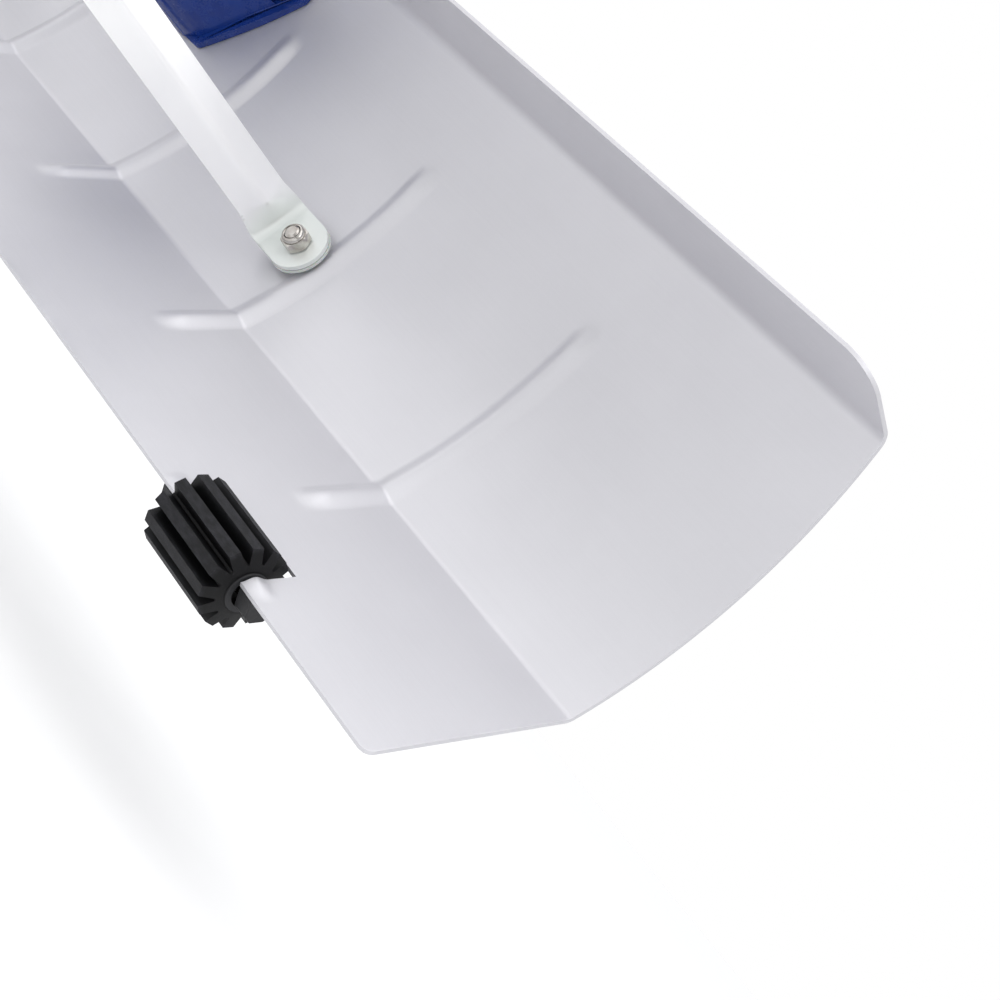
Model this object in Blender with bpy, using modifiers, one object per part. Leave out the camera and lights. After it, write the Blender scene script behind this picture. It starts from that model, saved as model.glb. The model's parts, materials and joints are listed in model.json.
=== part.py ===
"""A snow roof rake: a ribbed sheet blade on two rollers, braced to a telescoping pole with a flip lock.

Metres, +Z up. The rake rests on a floor at Z 0, on its rollers and the far end of its pole.
The blade runs along X, and the pole leaves it towards -Y. Inside the head, places are given in the
blade's own coordinates: X along it, s up its bent section from the scraping edge, and lift, the
distance off its working face. On the pole they are X, up, and t, the distance from the blade.
"""

import math

import bmesh
import bpy
from mathutils import Vector

# Overall sizes
BLADE_LENGTH = 0.635
OUTER_TUBE_LENGTH = 1.30
INNER_TUBE_LENGTH = 1.065
GAP = 0.0003  # between pieces that touch on the real rake
RUNNING_GAP = 0.0002  # around pieces that turn or slide

# The blade's section, from the scraping edge up. Leans are from upright, and positive away from the user.
SHEET = 0.0012
LIP = 0.0607
LIP_LEAN = math.radians(47.3)
CREASE_RADIUS = 0.004
PANEL_FOOT_LEAN = math.radians(16.6)
PANEL_RADIUS = 0.146
PANEL_TOP_LEAN = math.radians(-24.0)
FLANGE_BEND_RADIUS = 0.0045
FLANGE_LEAN = math.radians(-83.2)
FLANGE = 0.0252
FLANGE_CORNER_RADIUS = 0.011

# The ribs pressed into the sheet
RIB_PITCH = 0.089
RIB_PAIRS = 3
RIB_HALF_WIDTH = 0.006
RIB_HEIGHT = 0.0026
RIB_BELOW_CREASE = 0.029
RIB_ABOVE_CREASE = 0.078
RIB_FADE = 0.011

# The rollers, their notches and axles
ROLLER_INSET = 0.0829  # from the blade's end to the roller's middle
ROLLER_LENGTH = 0.036
ROLLER_RADIUS = 0.0128
ROLLER_RIBS = 12
ROLLER_RIB_TIP = 0.0032
ROLLER_RIB_FOOT = 0.0037
ROLLER_CORE_RADIUS = 0.0083
ROLLER_CHAMFER = 0.0020  # along the axle
NOTCH_SIDE_GAP = 0.001
NOTCH_END_GAP = 0.0006
AXLE_UP_LIP = 0.0040  # from the scraping edge
AXLE_SINK = 0.0050  # behind the working face
AXLE_RADIUS = 0.0022
HOLDER_LENGTH = 0.0062
HOLDER_HALF_WIDTH = 0.0038
HOLDER_WALL = 0.0016
ARCH_HEIGHT = 0.0012
ARCH_HALF_WIDTH = 0.0040
ARCH_FADE = 0.003

# The pole
OUTER_RADIUS = 0.0140
INNER_RADIUS = 0.0120
TUBE_WALL = 0.0012
POLE_ON_PANEL = 0.6207  # of the panel's arc, from its foot
POLE_STANDOFF = 0.007  # from the panel to the outer tube's end
BUSH_TO_BRACE_BOLT = 0.015  # when the pole is shut
BUSH_HEAD = 0.010
GRIP_LENGTH = 0.150
GRIP_RADIUS = 0.0165
CAP_RADIUS = 0.0175
CAP_RIM = 0.014
CAP_FLOOR = 0.003

# The plastic bracket that holds the pole
FOOT_THICKNESS = 0.0035
FOOT_BOTTOM = -0.0160  # up the panel from the pole's centre
FOOT_SHOULDER = 0.0205
FOOT_TOP = 0.0295
FOOT_HALF_BOTTOM = 0.0130
FOOT_HALF_TOP = 0.0380
FOOT_RIM = 0.003
BLOCK_REACH = 0.034
BLOCK_HALF_WIDTH = 0.0150
BLOCK_LOW = 0.003
BLOCK_HIGH = 0.016
SOCKET_WALL = 0.0027
SOCKET_REACH = 0.062
COLLAR_LENGTH = 0.020
COLLAR_WALL = 0.0042
BRACKET_BOLT_X = 0.0285
BRACKET_BOLT_UP = 0.0205
BOLT_POCKET_RADIUS = 0.0068

# The braces
BRACE_SHEET = 0.0014
BRACE_WIDTH = 0.019
BRACE_FOLDED_WIDTH = 0.0158
BRACE_FOLD_DEPTH = 0.0052
BRACE_BOLT_X = 0.124
BRACE_BOLT_HEIGHT = 0.0705  # above the scraping edge
BRACE_POLE_T = 0.425
TAB_PAST_BOLT = 0.0095
TAB_BEFORE_BOLT = 0.0085
POLE_TAB_BEFORE_BOLT = 0.014
TAB_BEND_RADIUS = 0.004
FOLD_RUN = 0.008  # over which the flat tab becomes the folded strap
BUSH_BOSS_RADIUS = 0.0038
BUSH_DISC_RADIUS = 0.0098
BUSH_DISC = 0.0010

# Fasteners, M5
BOLT_RADIUS = 0.0025
BOLT_HOLE_GAP = 0.0003
BOLT_HEAD_RADIUS = 0.0046
BOLT_HEAD_HEIGHT = 0.0030
BOLT_PAST_NUT = 0.0004
NUT_FLATS = 0.0080
NUT_HEX = 0.0036
NUT_HEIGHT = 0.0052
NUT_COLLAR_RADIUS = 0.0037
WASHER_RADIUS = 0.0052
WASHER = 0.0010

# The flip lock
LOCK_BELOW = 0.030  # along the outer tube
LOCK_ABOVE = 0.018  # past its end
LOCK_WALL = 0.0042
EAR_HALF_WIDTH = 0.0080
EAR_TOP = OUTER_RADIUS + 0.0170
EAR_HALF_LENGTH = 0.0110
LOCK_SLIT = 0.0030
SCREW_UP = OUTER_RADIUS + 0.0100
LEVER_PIN_X = 0.0150
LEVER_PIN_RADIUS = 0.0020
SCREW_EYE_RADIUS = 0.0044
SCREW_EYE = 0.0060
LEVER_CAM_RADIUS = 0.0058
LEVER_CAM_OFFSET = 0.0005
LEVER_LENGTH = 0.0180
LEVER_THICKNESS = 0.0036
LEVER_SWEEP = (math.radians(44), math.radians(-42))

SEGMENTS = 28


# ---------------------------------------------------------------- scene helpers

def clear_scene():
    for obj in list(bpy.data.objects):
        bpy.data.objects.remove(obj, do_unlink=True)


def make_collection(name):
    collection = bpy.data.collections.new(name)
    bpy.context.scene.collection.children.link(collection)
    return collection


def make_material(name, color, roughness, metallic=0.0):
    material = bpy.data.materials.new(name)
    material.use_nodes = True
    shader = material.node_tree.nodes["Principled BSDF"]
    shader.inputs["Base Color"].default_value = (*color, 1.0)
    shader.inputs["Roughness"].default_value = roughness
    shader.inputs["Metallic"].default_value = metallic
    return material


def make_empty(name, parent=None, location=(0, 0, 0), rotation=(0, 0, 0)):
    empty = bpy.data.objects.new(name, None)
    PARTS.objects.link(empty)
    empty.parent = parent
    empty.location = location
    empty.rotation_euler = rotation
    return empty


def make_object(name, mesh, parent, material=None, location=(0, 0, 0), rotation=(0, 0, 0)):
    """A part if it has a material, and a cutter if it has none."""
    obj = bpy.data.objects.new(name, mesh)
    (PARTS if material else CUTTERS).objects.link(obj)
    obj.parent = parent
    obj.location = location
    obj.rotation_euler = rotation
    if material:
        mesh.materials.append(material)
    else:
        obj.hide_render = True
        obj.display_type = "WIRE"
    return obj


def mesh_from(bm, name):
    bmesh.ops.recalc_face_normals(bm, faces=bm.faces)
    mesh = bpy.data.meshes.new(name)
    bm.to_mesh(mesh)
    bm.free()
    return mesh


def smooth(obj, degrees=35):
    obj.data.shade_smooth()
    obj.data.set_sharp_from_angle(angle=math.radians(degrees))


def box_mesh(name, low, high):
    bm = bmesh.new()
    bmesh.ops.create_cube(bm, size=1)
    for vert in bm.verts:
        vert.co = Vector(low[i] if vert.co[i] < 0 else high[i] for i in range(3))
    return mesh_from(bm, name)


def cylinder_mesh(name, radius, low, high, segments=SEGMENTS):
    bm = bmesh.new()
    bmesh.ops.create_cone(
        bm, cap_ends=True, segments=segments, radius1=radius, radius2=radius, depth=high - low
    )
    bmesh.ops.translate(bm, verts=bm.verts, vec=(0, 0, (low + high) / 2))
    return mesh_from(bm, name)


def outline_mesh(name, loops, low, high):
    """A flat outline, with holes for its inner loops, extruded from low to high along Z."""
    curve = bpy.data.curves.new(name, "CURVE")
    curve.dimensions = "2D"
    curve.fill_mode = "BOTH"
    curve.extrude = (high - low) / 2
    for loop in loops:
        spline = curve.splines.new("POLY")
        spline.points.add(len(loop) - 1)
        spline.use_cyclic_u = True
        for point, (x, y) in zip(spline.points, loop):
            point.co = (x, y, 0, 1)
    holder = bpy.data.objects.new(name, curve)
    CUTTERS.objects.link(holder)
    evaluated = holder.evaluated_get(bpy.context.evaluated_depsgraph_get())
    bm = bmesh.new()
    bm.from_mesh(bpy.data.meshes.new_from_object(evaluated))
    bpy.data.objects.remove(holder)
    bmesh.ops.remove_doubles(bm, verts=bm.verts, dist=1e-6)
    bmesh.ops.translate(bm, verts=bm.verts, vec=(0, 0, (low + high) / 2))
    return mesh_from(bm, name)


def turned(name, profile, parent, material=None, location=(0, 0, 0), rotation=(0, 0, 0), closed=False,
           steps=SEGMENTS):
    """A profile of (radius, z) down its outer side, turned about Z. A closed one is a ring."""
    mesh = bpy.data.meshes.new(name)
    edges = [(i, i + 1) for i in range(len(profile) - 1)]
    if closed:
        edges.append((len(profile) - 1, 0))
    mesh.from_pydata([(r, 0, z) for r, z in profile], edges, [])
    obj = make_object(name, mesh, parent, material, location, rotation)
    screw = obj.modifiers.new("turn", "SCREW")
    screw.axis = "Z"
    screw.steps = steps
    screw.render_steps = steps
    screw.use_merge_vertices = True
    screw.merge_threshold = 1e-5
    return obj


def boolean(obj, other, operation="DIFFERENCE"):
    modifier = obj.modifiers.new(other.name, "BOOLEAN")
    modifier.operation = operation
    modifier.solver = "EXACT"
    modifier.object = other


def cut_together(obj, cutters):
    """One Boolean for cutters that don't touch each other, in a collection of their own."""
    group = bpy.data.collections.new(f"{obj.name}_cutters")
    CUTTERS.children.link(group)
    for cutter in cutters:
        CUTTERS.objects.unlink(cutter)
        group.objects.link(cutter)
    modifier = obj.modifiers.new(group.name, "BOOLEAN")
    modifier.operation = "DIFFERENCE"
    modifier.solver = "EXACT"
    modifier.operand_type = "COLLECTION"
    modifier.collection = group


def ring(inner, outer, low, high):
    """The closed profile of a plain ring, for turned()."""
    return [(outer, high), (outer, low), (inner, low), (inner, high)]


def arc(centre, radius, start, end, steps):
    """Points on an arc, both ends included."""
    angles = [start + (end - start) * i / steps for i in range(steps + 1)]
    return [(centre[0] + radius * math.cos(a), centre[1] + radius * math.sin(a)) for a in angles]


# ---------------------------------------------------------------- the blade's section

SECTION = (
    ("lip", LIP, LIP_LEAN, LIP_LEAN),
    ("crease", CREASE_RADIUS * (LIP_LEAN - PANEL_FOOT_LEAN), LIP_LEAN, PANEL_FOOT_LEAN),
    ("panel", PANEL_RADIUS * (PANEL_FOOT_LEAN - PANEL_TOP_LEAN), PANEL_FOOT_LEAN, PANEL_TOP_LEAN),
    ("bend", FLANGE_BEND_RADIUS * (PANEL_TOP_LEAN - FLANGE_LEAN), PANEL_TOP_LEAN, FLANGE_LEAN),
    ("flange", FLANGE, FLANGE_LEAN, FLANGE_LEAN),
)


def section_start(name):
    """How far up the section a stretch begins."""
    run = 0.0
    for stretch, length, _, _ in SECTION:
        if stretch == name:
            return run
        run += length
    return run


def on_section(s):
    """(y, z, lean) of the working face at s, from the scraping edge."""
    y = z = 0.0
    for name, length, lean, end_lean in SECTION:
        part = s if name == "flange" else min(s, length)
        turn = (end_lean - lean) * part / length
        if abs(end_lean - lean) < 1e-9:
            y += part * math.sin(lean)
            z += part * math.cos(lean)
        else:
            radius = length / (lean - end_lean)
            y += radius * (math.cos(lean + turn) - math.cos(lean))
            z += radius * (math.sin(lean) - math.sin(lean + turn))
        s -= part
        if s <= 1e-12:
            return y, z, lean + turn
    return y, z, lean


def s_at_height(height):
    """Where the curved panel is this high above the scraping edge."""
    _, foot_z, _ = on_section(section_start("panel"))
    lean = math.asin(math.sin(PANEL_FOOT_LEAN) - (height - foot_z) / PANEL_RADIUS)
    return section_start("panel") + PANEL_RADIUS * (PANEL_FOOT_LEAN - lean)


def blade_place(x, s, lift=0.0):
    """Location and rotation whose Y runs up the section and whose Z leaves the working face."""
    y, z, lean = on_section(s)
    location = (x, y - lift * math.cos(lean), z + lift * math.sin(lean))
    return location, (math.pi / 2 - lean, 0, 0)


CREASE_S = section_start("panel") - SECTION[1][1] / 2
RIB_LOW = CREASE_S - RIB_BELOW_CREASE
RIB_HIGH = CREASE_S + RIB_ABOVE_CREASE
RIBS_X = [side * RIB_PITCH * (i + 0.5) for i in range(RIB_PAIRS) for side in (-1, 1)]
ROLLER_X = BLADE_LENGTH / 2 - ROLLER_INSET
NOTCH_HALF = ROLLER_LENGTH / 2 + NOTCH_SIDE_GAP
NOTCH_DEPTH = AXLE_UP_LIP + math.sqrt(ROLLER_RADIUS**2 - AXLE_SINK**2) + NOTCH_END_GAP
ARCH_END = NOTCH_HALF + HOLDER_LENGTH + ARCH_FADE
SIDES = (("left", -1), ("right", 1))

# Where things stand. The lowest points of the roller are the corners of the two ribs beside its foot.
RIB_STEP = 2 * math.pi / ROLLER_RIBS
ROLLER_CENTRE, _ = blade_place(0, AXLE_UP_LIP, -AXLE_SINK)
ROLLER_FOOT = ROLLER_RADIUS * math.cos(RIB_STEP / 2) + ROLLER_RIB_TIP / 2 * math.sin(RIB_STEP / 2)
EDGE_HEIGHT = ROLLER_FOOT - ROLLER_CENTRE[2]  # of the scraping edge above the floor
OUTER_END = POLE_STANDOFF + OUTER_TUBE_LENGTH
INNER_START = BRACE_POLE_T + BOLT_RADIUS + BUSH_TO_BRACE_BOLT + BUSH_HEAD
INNER_END = INNER_START + INNER_TUBE_LENGTH
POLE_END = INNER_END + GAP + CAP_FLOOR
POLE_S = section_start("panel") + POLE_ON_PANEL * PANEL_RADIUS * (PANEL_FOOT_LEAN - PANEL_TOP_LEAN)
POLE_START, _ = blade_place(0, POLE_S)
POLE_DROP = math.asin(
    (POLE_START[2] + EDGE_HEIGHT) / math.hypot(POLE_END, CAP_RADIUS)
) - math.atan(CAP_RADIUS / POLE_END)
FRONT_Y = POLE_START[1] - POLE_END * math.cos(POLE_DROP) - CAP_RADIUS * math.sin(POLE_DROP)
BACK_Y = blade_place(0, s_at_height(BRACE_BOLT_HEIGHT), -SHEET - GAP - BOLT_HEAD_HEIGHT)[0][1]


# ---------------------------------------------------------------- the blade

def bump(distance, half_width):
    """1 at the middle, falling smoothly to 0 at half_width."""
    if abs(distance) >= half_width:
        return 0.0
    return math.cos(math.pi / 2 * distance / half_width) ** 2


def rib_height(x, s):
    ends = min(s - RIB_LOW, RIB_HIGH - s)
    fade = max(0.0, min(1.0, ends / RIB_FADE))
    across = max(bump(x - rib, RIB_HALF_WIDTH) for rib in RIBS_X)
    return RIB_HEIGHT * across * fade


def arch_height(x, s):
    """The half-round pressed over each axle's end."""
    beside = abs(abs(x) - ROLLER_X)
    fade = max(0.0, min(1.0, (ARCH_END - beside) / ARCH_FADE))
    return ARCH_HEIGHT * bump(s - AXLE_UP_LIP, ARCH_HALF_WIDTH) * fade


def blade_stations_x():
    stations = {-BLADE_LENGTH / 2, BLADE_LENGTH / 2}
    for rib in RIBS_X:
        stations |= {rib + RIB_HALF_WIDTH * k / 2 for k in range(-2, 3)}
    for _, side in SIDES:
        for away in (ARCH_END, ARCH_END - ARCH_FADE, NOTCH_HALF - NOTCH_SIDE_GAP):
            stations |= {side * (ROLLER_X - away), side * (ROLLER_X + away)}
    return sorted(stations)


def blade_stations_s():
    stations = [0.0] + [AXLE_UP_LIP + ARCH_HALF_WIDTH * k / 2 for k in range(-1, 3)]
    stations += [RIB_LOW, RIB_LOW + RIB_FADE]
    counts = {"crease": 3, "panel": 13, "bend": 5}
    for name, length, _, _ in SECTION:
        if name in counts:
            start = section_start(name)
            stations += [start + length * k / counts[name] for k in range(counts[name])]
    stations += [RIB_HIGH, section_start("flange"), section_start("flange") + FLANGE]
    return sorted(stations)


def make_blade(parent):
    xs = blade_stations_x()
    ss = blade_stations_s()
    bm = bmesh.new()
    bmesh.ops.create_grid(bm, x_segments=len(xs) - 1, y_segments=len(ss) - 1, size=1)
    for vert in bm.verts:
        x = xs[round((vert.co.x + 1) / 2 * (len(xs) - 1))]
        s = ss[round((vert.co.y + 1) / 2 * (len(ss) - 1))]
        location, _ = blade_place(x, s, rib_height(x, s) + arch_height(x, s))
        vert.co = location
    mesh = bpy.data.meshes.new("blade")
    bm.to_mesh(mesh)
    bm.free()
    blade = make_object("blade", mesh, parent, ALUMINIUM)
    smooth(blade)
    solidify = blade.modifiers.new("sheet", "SOLIDIFY")
    solidify.thickness = SHEET
    solidify.offset = -1
    solidify.use_even_offset = True
    brace_s = s_at_height(BRACE_BOLT_HEIGHT)
    bracket_s = POLE_S + BRACKET_BOLT_UP
    cutters = []
    for name, side in SIDES:
        cutters.append(notch_cutter(name, side, parent))
        cutters.append(flange_corner_cutter(name, side, parent))
        cutters.append(bolt_hole(f"brace_hole_{name}", side * BRACE_BOLT_X, brace_s, parent))
        cutters.append(bolt_hole(f"bracket_hole_{name}", side * BRACKET_BOLT_X, bracket_s, parent))
    cut_together(blade, cutters)
    return blade


def notch_cutter(name, side, parent):
    mesh = box_mesh("notch", (-NOTCH_HALF, -0.004, -0.008), (NOTCH_HALF, NOTCH_DEPTH, 0.008))
    return make_object(f"notch_{name}", mesh, parent, None, *blade_place(side * ROLLER_X, 0))


def flange_corner_cutter(name, side, parent):
    """What lies outside a rounded corner of the flange: x inwards from the blade's end, y back from its edge."""
    r = FLANGE_CORNER_RADIUS
    beyond = -0.003
    rounded = arc((r, r), r, math.radians(180), math.radians(270), 6)
    outline = [(beyond, r), *rounded, (r, beyond), (beyond, beyond)]
    mesh = outline_mesh("flange_corner", [[(-side * x, -y) for x, y in outline]], -0.006, 0.006)
    s = section_start("flange") + FLANGE
    return make_object(f"flange_corner_{name}", mesh, parent, None, *blade_place(side * BLADE_LENGTH / 2, s))


def bolt_hole(name, x, s, parent, reach=0.012):
    mesh = cylinder_mesh(name, BOLT_RADIUS + BOLT_HOLE_GAP, -reach, reach, 16)
    return make_object(name, mesh, parent, None, *blade_place(x, s))


# ---------------------------------------------------------------- rollers

def roller_outline():
    points = []
    for k in range(ROLLER_RIBS):
        middle = RIB_STEP * (k + 0.5)
        along = Vector((math.cos(middle), math.sin(middle)))
        across = Vector((-along.y, along.x))
        foot = along * ROLLER_CORE_RADIUS
        tip = along * ROLLER_RADIUS
        points += [
            foot - across * ROLLER_RIB_FOOT / 2,
            tip - across * ROLLER_RIB_TIP / 2,
            tip + across * ROLLER_RIB_TIP / 2,
            foot + across * ROLLER_RIB_FOOT / 2,
        ]
    return [(point.x, point.y) for point in points]


def make_roller(name, side, parent):
    """A ribbed roller that turns on its axle, with its ends chamfered. Its origin is on its axis."""
    half = ROLLER_LENGTH / 2
    mesh = outline_mesh(name, [roller_outline()], -half, half)
    centre, _ = blade_place(side * ROLLER_X, AXLE_UP_LIP, -AXLE_SINK)
    along_x = (0, math.pi / 2, 0)
    roller = make_object(name, mesh, parent, RUBBER, centre, along_x)
    over = 0.001
    slope = (ROLLER_RADIUS + over - ROLLER_CORE_RADIUS) / ROLLER_CHAMFER
    low_radius = ROLLER_CORE_RADIUS - slope * over
    envelope = turned(
        f"{name}_envelope",
        [
            (0, half + over),
            (low_radius, half + over),
            (ROLLER_RADIUS + over, half - ROLLER_CHAMFER),
            (ROLLER_RADIUS + over, ROLLER_CHAMFER - half),
            (low_radius, -half - over),
            (0, -half - over),
        ],
        parent, None, centre, along_x, steps=24,
    )
    bore = cylinder_mesh(f"{name}_bore", AXLE_RADIUS + RUNNING_GAP, -half - over, half + over, 16)
    boolean(roller, envelope, "INTERSECT")
    boolean(roller, make_object(f"{name}_bore", bore, parent, None, centre, along_x))
    return roller


def make_axle(name, side, parent):
    """A plain pin from one holder to the other."""
    half = NOTCH_HALF + HOLDER_LENGTH - HOLDER_WALL - GAP
    chamfer = 0.0004
    centre, _ = blade_place(side * ROLLER_X, AXLE_UP_LIP, -AXLE_SINK)
    return turned(
        name,
        [
            (0, half),
            (AXLE_RADIUS - chamfer, half),
            (AXLE_RADIUS, half - chamfer),
            (AXLE_RADIUS, chamfer - half),
            (AXLE_RADIUS - chamfer, -half),
            (0, -half),
        ],
        parent, STEEL, centre, (0, math.pi / 2, 0), steps=16,
    )


def make_axle_holder(name, roller_side, end_side, parent):
    """A plastic block under the sheet, with a blind hole for the axle's end and a ridge in the sheet's arch."""
    low_z = -AXLE_SINK - AXLE_RADIUS - HOLDER_WALL
    top_z = -SHEET - GAP
    half = HOLDER_HALF_WIDTH
    ridge = [
        (y, top_z + (ARCH_HEIGHT - 0.0004) * bump(y, ARCH_HALF_WIDTH - 0.0012))
        for y in [half * 0.62 * (1 - k / 4) for k in range(9)]
    ]
    corner = 0.0018
    below = [(-half, low_z + corner), (corner - half, low_z), (half - corner, low_z), (half, low_z + corner)]
    outline = [(half, top_z), *ridge, (-half, top_z), *below]
    mesh = outline_mesh(name, [outline], 0, HOLDER_LENGTH)
    # The outline's X is up the lip and its Y is the lift, so the block's own Z runs along the blade.
    bm = bmesh.new()
    bm.from_mesh(mesh)
    start = roller_side * ROLLER_X + end_side * NOTCH_HALF
    for vert in bm.verts:
        up, lift, away = vert.co
        vert.co = Vector((start + end_side * away, up, lift))
    mesh = mesh_from(bm, name)
    place, rotation = blade_place(0, AXLE_UP_LIP)
    holder = make_object(name, mesh, parent, PLASTIC_BLACK, place, rotation)
    centre, _ = blade_place(start, AXLE_UP_LIP, -AXLE_SINK)
    depth = HOLDER_LENGTH - HOLDER_WALL
    bore = cylinder_mesh(f"{name}_bore", AXLE_RADIUS + RUNNING_GAP, -depth, depth, 16)
    boolean(holder, make_object(f"{name}_bore", bore, parent, None, centre, (0, math.pi / 2, 0)))
    return holder


# ---------------------------------------------------------------- fasteners

def make_bolt(name, parent, material, location, rotation, grip):
    """A pan-head bolt. Its head is below Z 0, and its shank runs up +Z through grip and a nut."""
    top = grip + NUT_HEIGHT + BOLT_PAST_NUT
    r = BOLT_HEAD_RADIUS
    return turned(
        name,
        [
            (0, top),
            (BOLT_RADIUS - 0.0004, top),
            (BOLT_RADIUS, top - 0.0004),
            (BOLT_RADIUS, 0),
            (r, 0),
            (r, -BOLT_HEAD_HEIGHT * 0.35),
            (r * 0.86, -BOLT_HEAD_HEIGHT * 0.78),
            (r * 0.5, -BOLT_HEAD_HEIGHT),
            (0, -BOLT_HEAD_HEIGHT),
        ],
        parent, material, location, rotation, steps=16,
    )


def make_nut(name, parent, location, rotation):
    """A lock nut standing on Z 0: a hexagon with a round collar above it."""
    hexagon = cylinder_mesh(name, NUT_FLATS / math.sqrt(3), 0, NUT_HEX, 6)
    nut = make_object(name, hexagon, parent, STEEL, location, rotation)
    collar = turned(
        f"{name}_collar",
        [
            (0, NUT_HEIGHT),
            (NUT_COLLAR_RADIUS - 0.0007, NUT_HEIGHT),
            (NUT_COLLAR_RADIUS, NUT_HEIGHT - 0.0007),
            (NUT_COLLAR_RADIUS, NUT_HEX / 2),
            (0, NUT_HEX / 2),
        ],
        parent, None, location, rotation, steps=16,
    )
    boolean(nut, collar, "UNION")
    bore = cylinder_mesh(f"{name}_bore", BOLT_RADIUS + RUNNING_GAP, -0.001, NUT_HEIGHT + 0.001, 16)
    boolean(nut, make_object(f"{name}_bore", bore, parent, None, location, rotation))
    return nut


def make_washer(name, parent, location, rotation):
    profile = ring(BOLT_RADIUS + BOLT_HOLE_GAP, WASHER_RADIUS, 0, WASHER)
    return turned(name, profile, parent, STEEL, location, rotation, closed=True, steps=20)


# ---------------------------------------------------------------- the bracket

def foot_outline(inset=0.0):
    """Half of the foot's outline, from its lowest to its highest point, inset all round."""
    slant = math.atan2(FOOT_SHOULDER - FOOT_BOTTOM, FOOT_HALF_TOP - FOOT_HALF_BOTTOM)
    shift = inset / math.sin(slant)
    low_x = FOOT_HALF_BOTTOM - shift + inset / math.tan(slant)
    high_x = FOOT_HALF_TOP - inset
    turn_y = FOOT_SHOULDER - (FOOT_HALF_TOP - high_x) * math.tan(slant) + shift * math.tan(slant)
    return [(low_x, FOOT_BOTTOM + inset), (high_x, turn_y), (high_x, FOOT_TOP - inset)]


def mirrored(half):
    return half + [(-x, y) for x, y in reversed(half)]


def rounded_prism(name, outline, low, high, radius):
    bm = bmesh.new()
    bm.from_mesh(outline_mesh(name, [outline], low, high))
    upright = [e for e in bm.edges if abs(e.verts[0].co.z - e.verts[1].co.z) > (high - low) / 2]
    bmesh.ops.bevel(bm, geom=upright, offset=radius, segments=3, profile=0.5, affect="EDGES")
    return mesh_from(bm, name)


def block_mesh():
    """The wedge from the foot to the socket: the hull of an outline on the foot and a smaller one out along it."""
    bm = bmesh.new()
    for x, y in mirrored(foot_outline(FOOT_RIM)):
        bm.verts.new((x, y, FOOT_THICKNESS - 0.001))
        bm.verts.new((x, y, FOOT_THICKNESS + 0.001))
    for x in (-BLOCK_HALF_WIDTH, BLOCK_HALF_WIDTH):
        for y in (BLOCK_LOW, BLOCK_HIGH):
            bm.verts.new((x, y, BLOCK_REACH))
    hull = bmesh.ops.convex_hull(bm, input=bm.verts)
    loose = [item for item in hull["geom_interior"] if isinstance(item, bmesh.types.BMVert)]
    bmesh.ops.delete(bm, geom=loose, context="VERTS")
    return mesh_from(bm, "block")


def make_bracket(parent, pole):
    place, rotation = blade_place(0, POLE_S)
    outline = mirrored(foot_outline())
    foot = rounded_prism("head_bracket", outline, -0.008, FOOT_THICKNESS, 0.003)
    bracket = make_object("head_bracket", foot, parent, PLASTIC_BLUE, place, rotation)
    block = make_object("bracket_block", block_mesh(), parent, None, place, rotation)
    boolean(bracket, block, "UNION")
    bore = OUTER_RADIUS + GAP
    wall = bore + SOCKET_WALL
    collar = bore + COLLAR_WALL
    lip = 0.0012
    socket = turned(
        "bracket_socket",
        [
            (0, SOCKET_REACH),
            (collar - lip, SOCKET_REACH),
            (collar, SOCKET_REACH - lip),
            (collar, SOCKET_REACH - COLLAR_LENGTH),
            (wall, SOCKET_REACH - COLLAR_LENGTH - (collar - wall)),
            (wall, 0.001),
            (0, 0.001),
        ],
        pole, steps=32,
    )
    boolean(bracket, socket, "UNION")
    boolean(bracket, panel_envelope(parent), "INTERSECT")
    inside = cylinder_mesh("socket_bore", bore, POLE_STANDOFF - 0.001, SOCKET_REACH + 0.002, 32)
    boolean(bracket, make_object("socket_bore", inside, pole))
    boolean(bracket, cross_hole("socket_cross_hole", pole, socket_bolt_t()))
    for name, side in SIDES:
        x = side * BRACKET_BOLT_X
        pocket = cylinder_mesh("pocket", BOLT_POCKET_RADIUS, FOOT_THICKNESS, BLOCK_REACH, 20)
        place, rotation = blade_place(x, POLE_S + BRACKET_BOLT_UP)
        boolean(bracket, make_object(f"bracket_pocket_{name}", pocket, parent, None, place, rotation))
        hole = bolt_hole(f"bracket_bolt_hole_{name}", x, POLE_S + BRACKET_BOLT_UP, parent)
        boolean(bracket, hole)
    return bracket


def panel_envelope(parent):
    """All that lies on the working side of the curved panel, a gap off it."""
    y, z, lean = on_section(section_start("panel"))
    centre = (0, y - PANEL_RADIUS * math.cos(lean), z + PANEL_RADIUS * math.sin(lean))
    half = FOOT_HALF_TOP + 0.01
    mesh = cylinder_mesh("panel_envelope", PANEL_RADIUS - GAP, -half, half, 96)
    return make_object("panel_envelope", mesh, parent, None, centre, (0, math.pi / 2, 0))


def socket_bolt_t():
    return SOCKET_REACH - COLLAR_LENGTH / 2


def cross_hole(name, pole, t):
    reach = 0.04
    mesh = cylinder_mesh(name, BOLT_RADIUS + BOLT_HOLE_GAP, -reach, reach, 16)
    return make_object(name, mesh, pole, None, (0, 0, t), (0, math.pi / 2, 0))


def make_cross_bolt(name, pole, t, half_grip):
    """A bolt through the pole along X, with its head on the left and its nut on the right."""
    make_bolt(f"{name}_bolt", pole, STEEL, (-half_grip, 0, t), (0, math.pi / 2, 0), 2 * half_grip)
    make_nut(f"{name}_nut", pole, (half_grip, 0, t), (0, math.pi / 2, 0))


# ---------------------------------------------------------------- the braces

def brace_lift():
    """Of the strap's mid-surface off the blade, where it lies on its bush."""
    return RIB_HEIGHT + GAP + BUSH_DISC + GAP + BRACE_SHEET / 2


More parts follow.
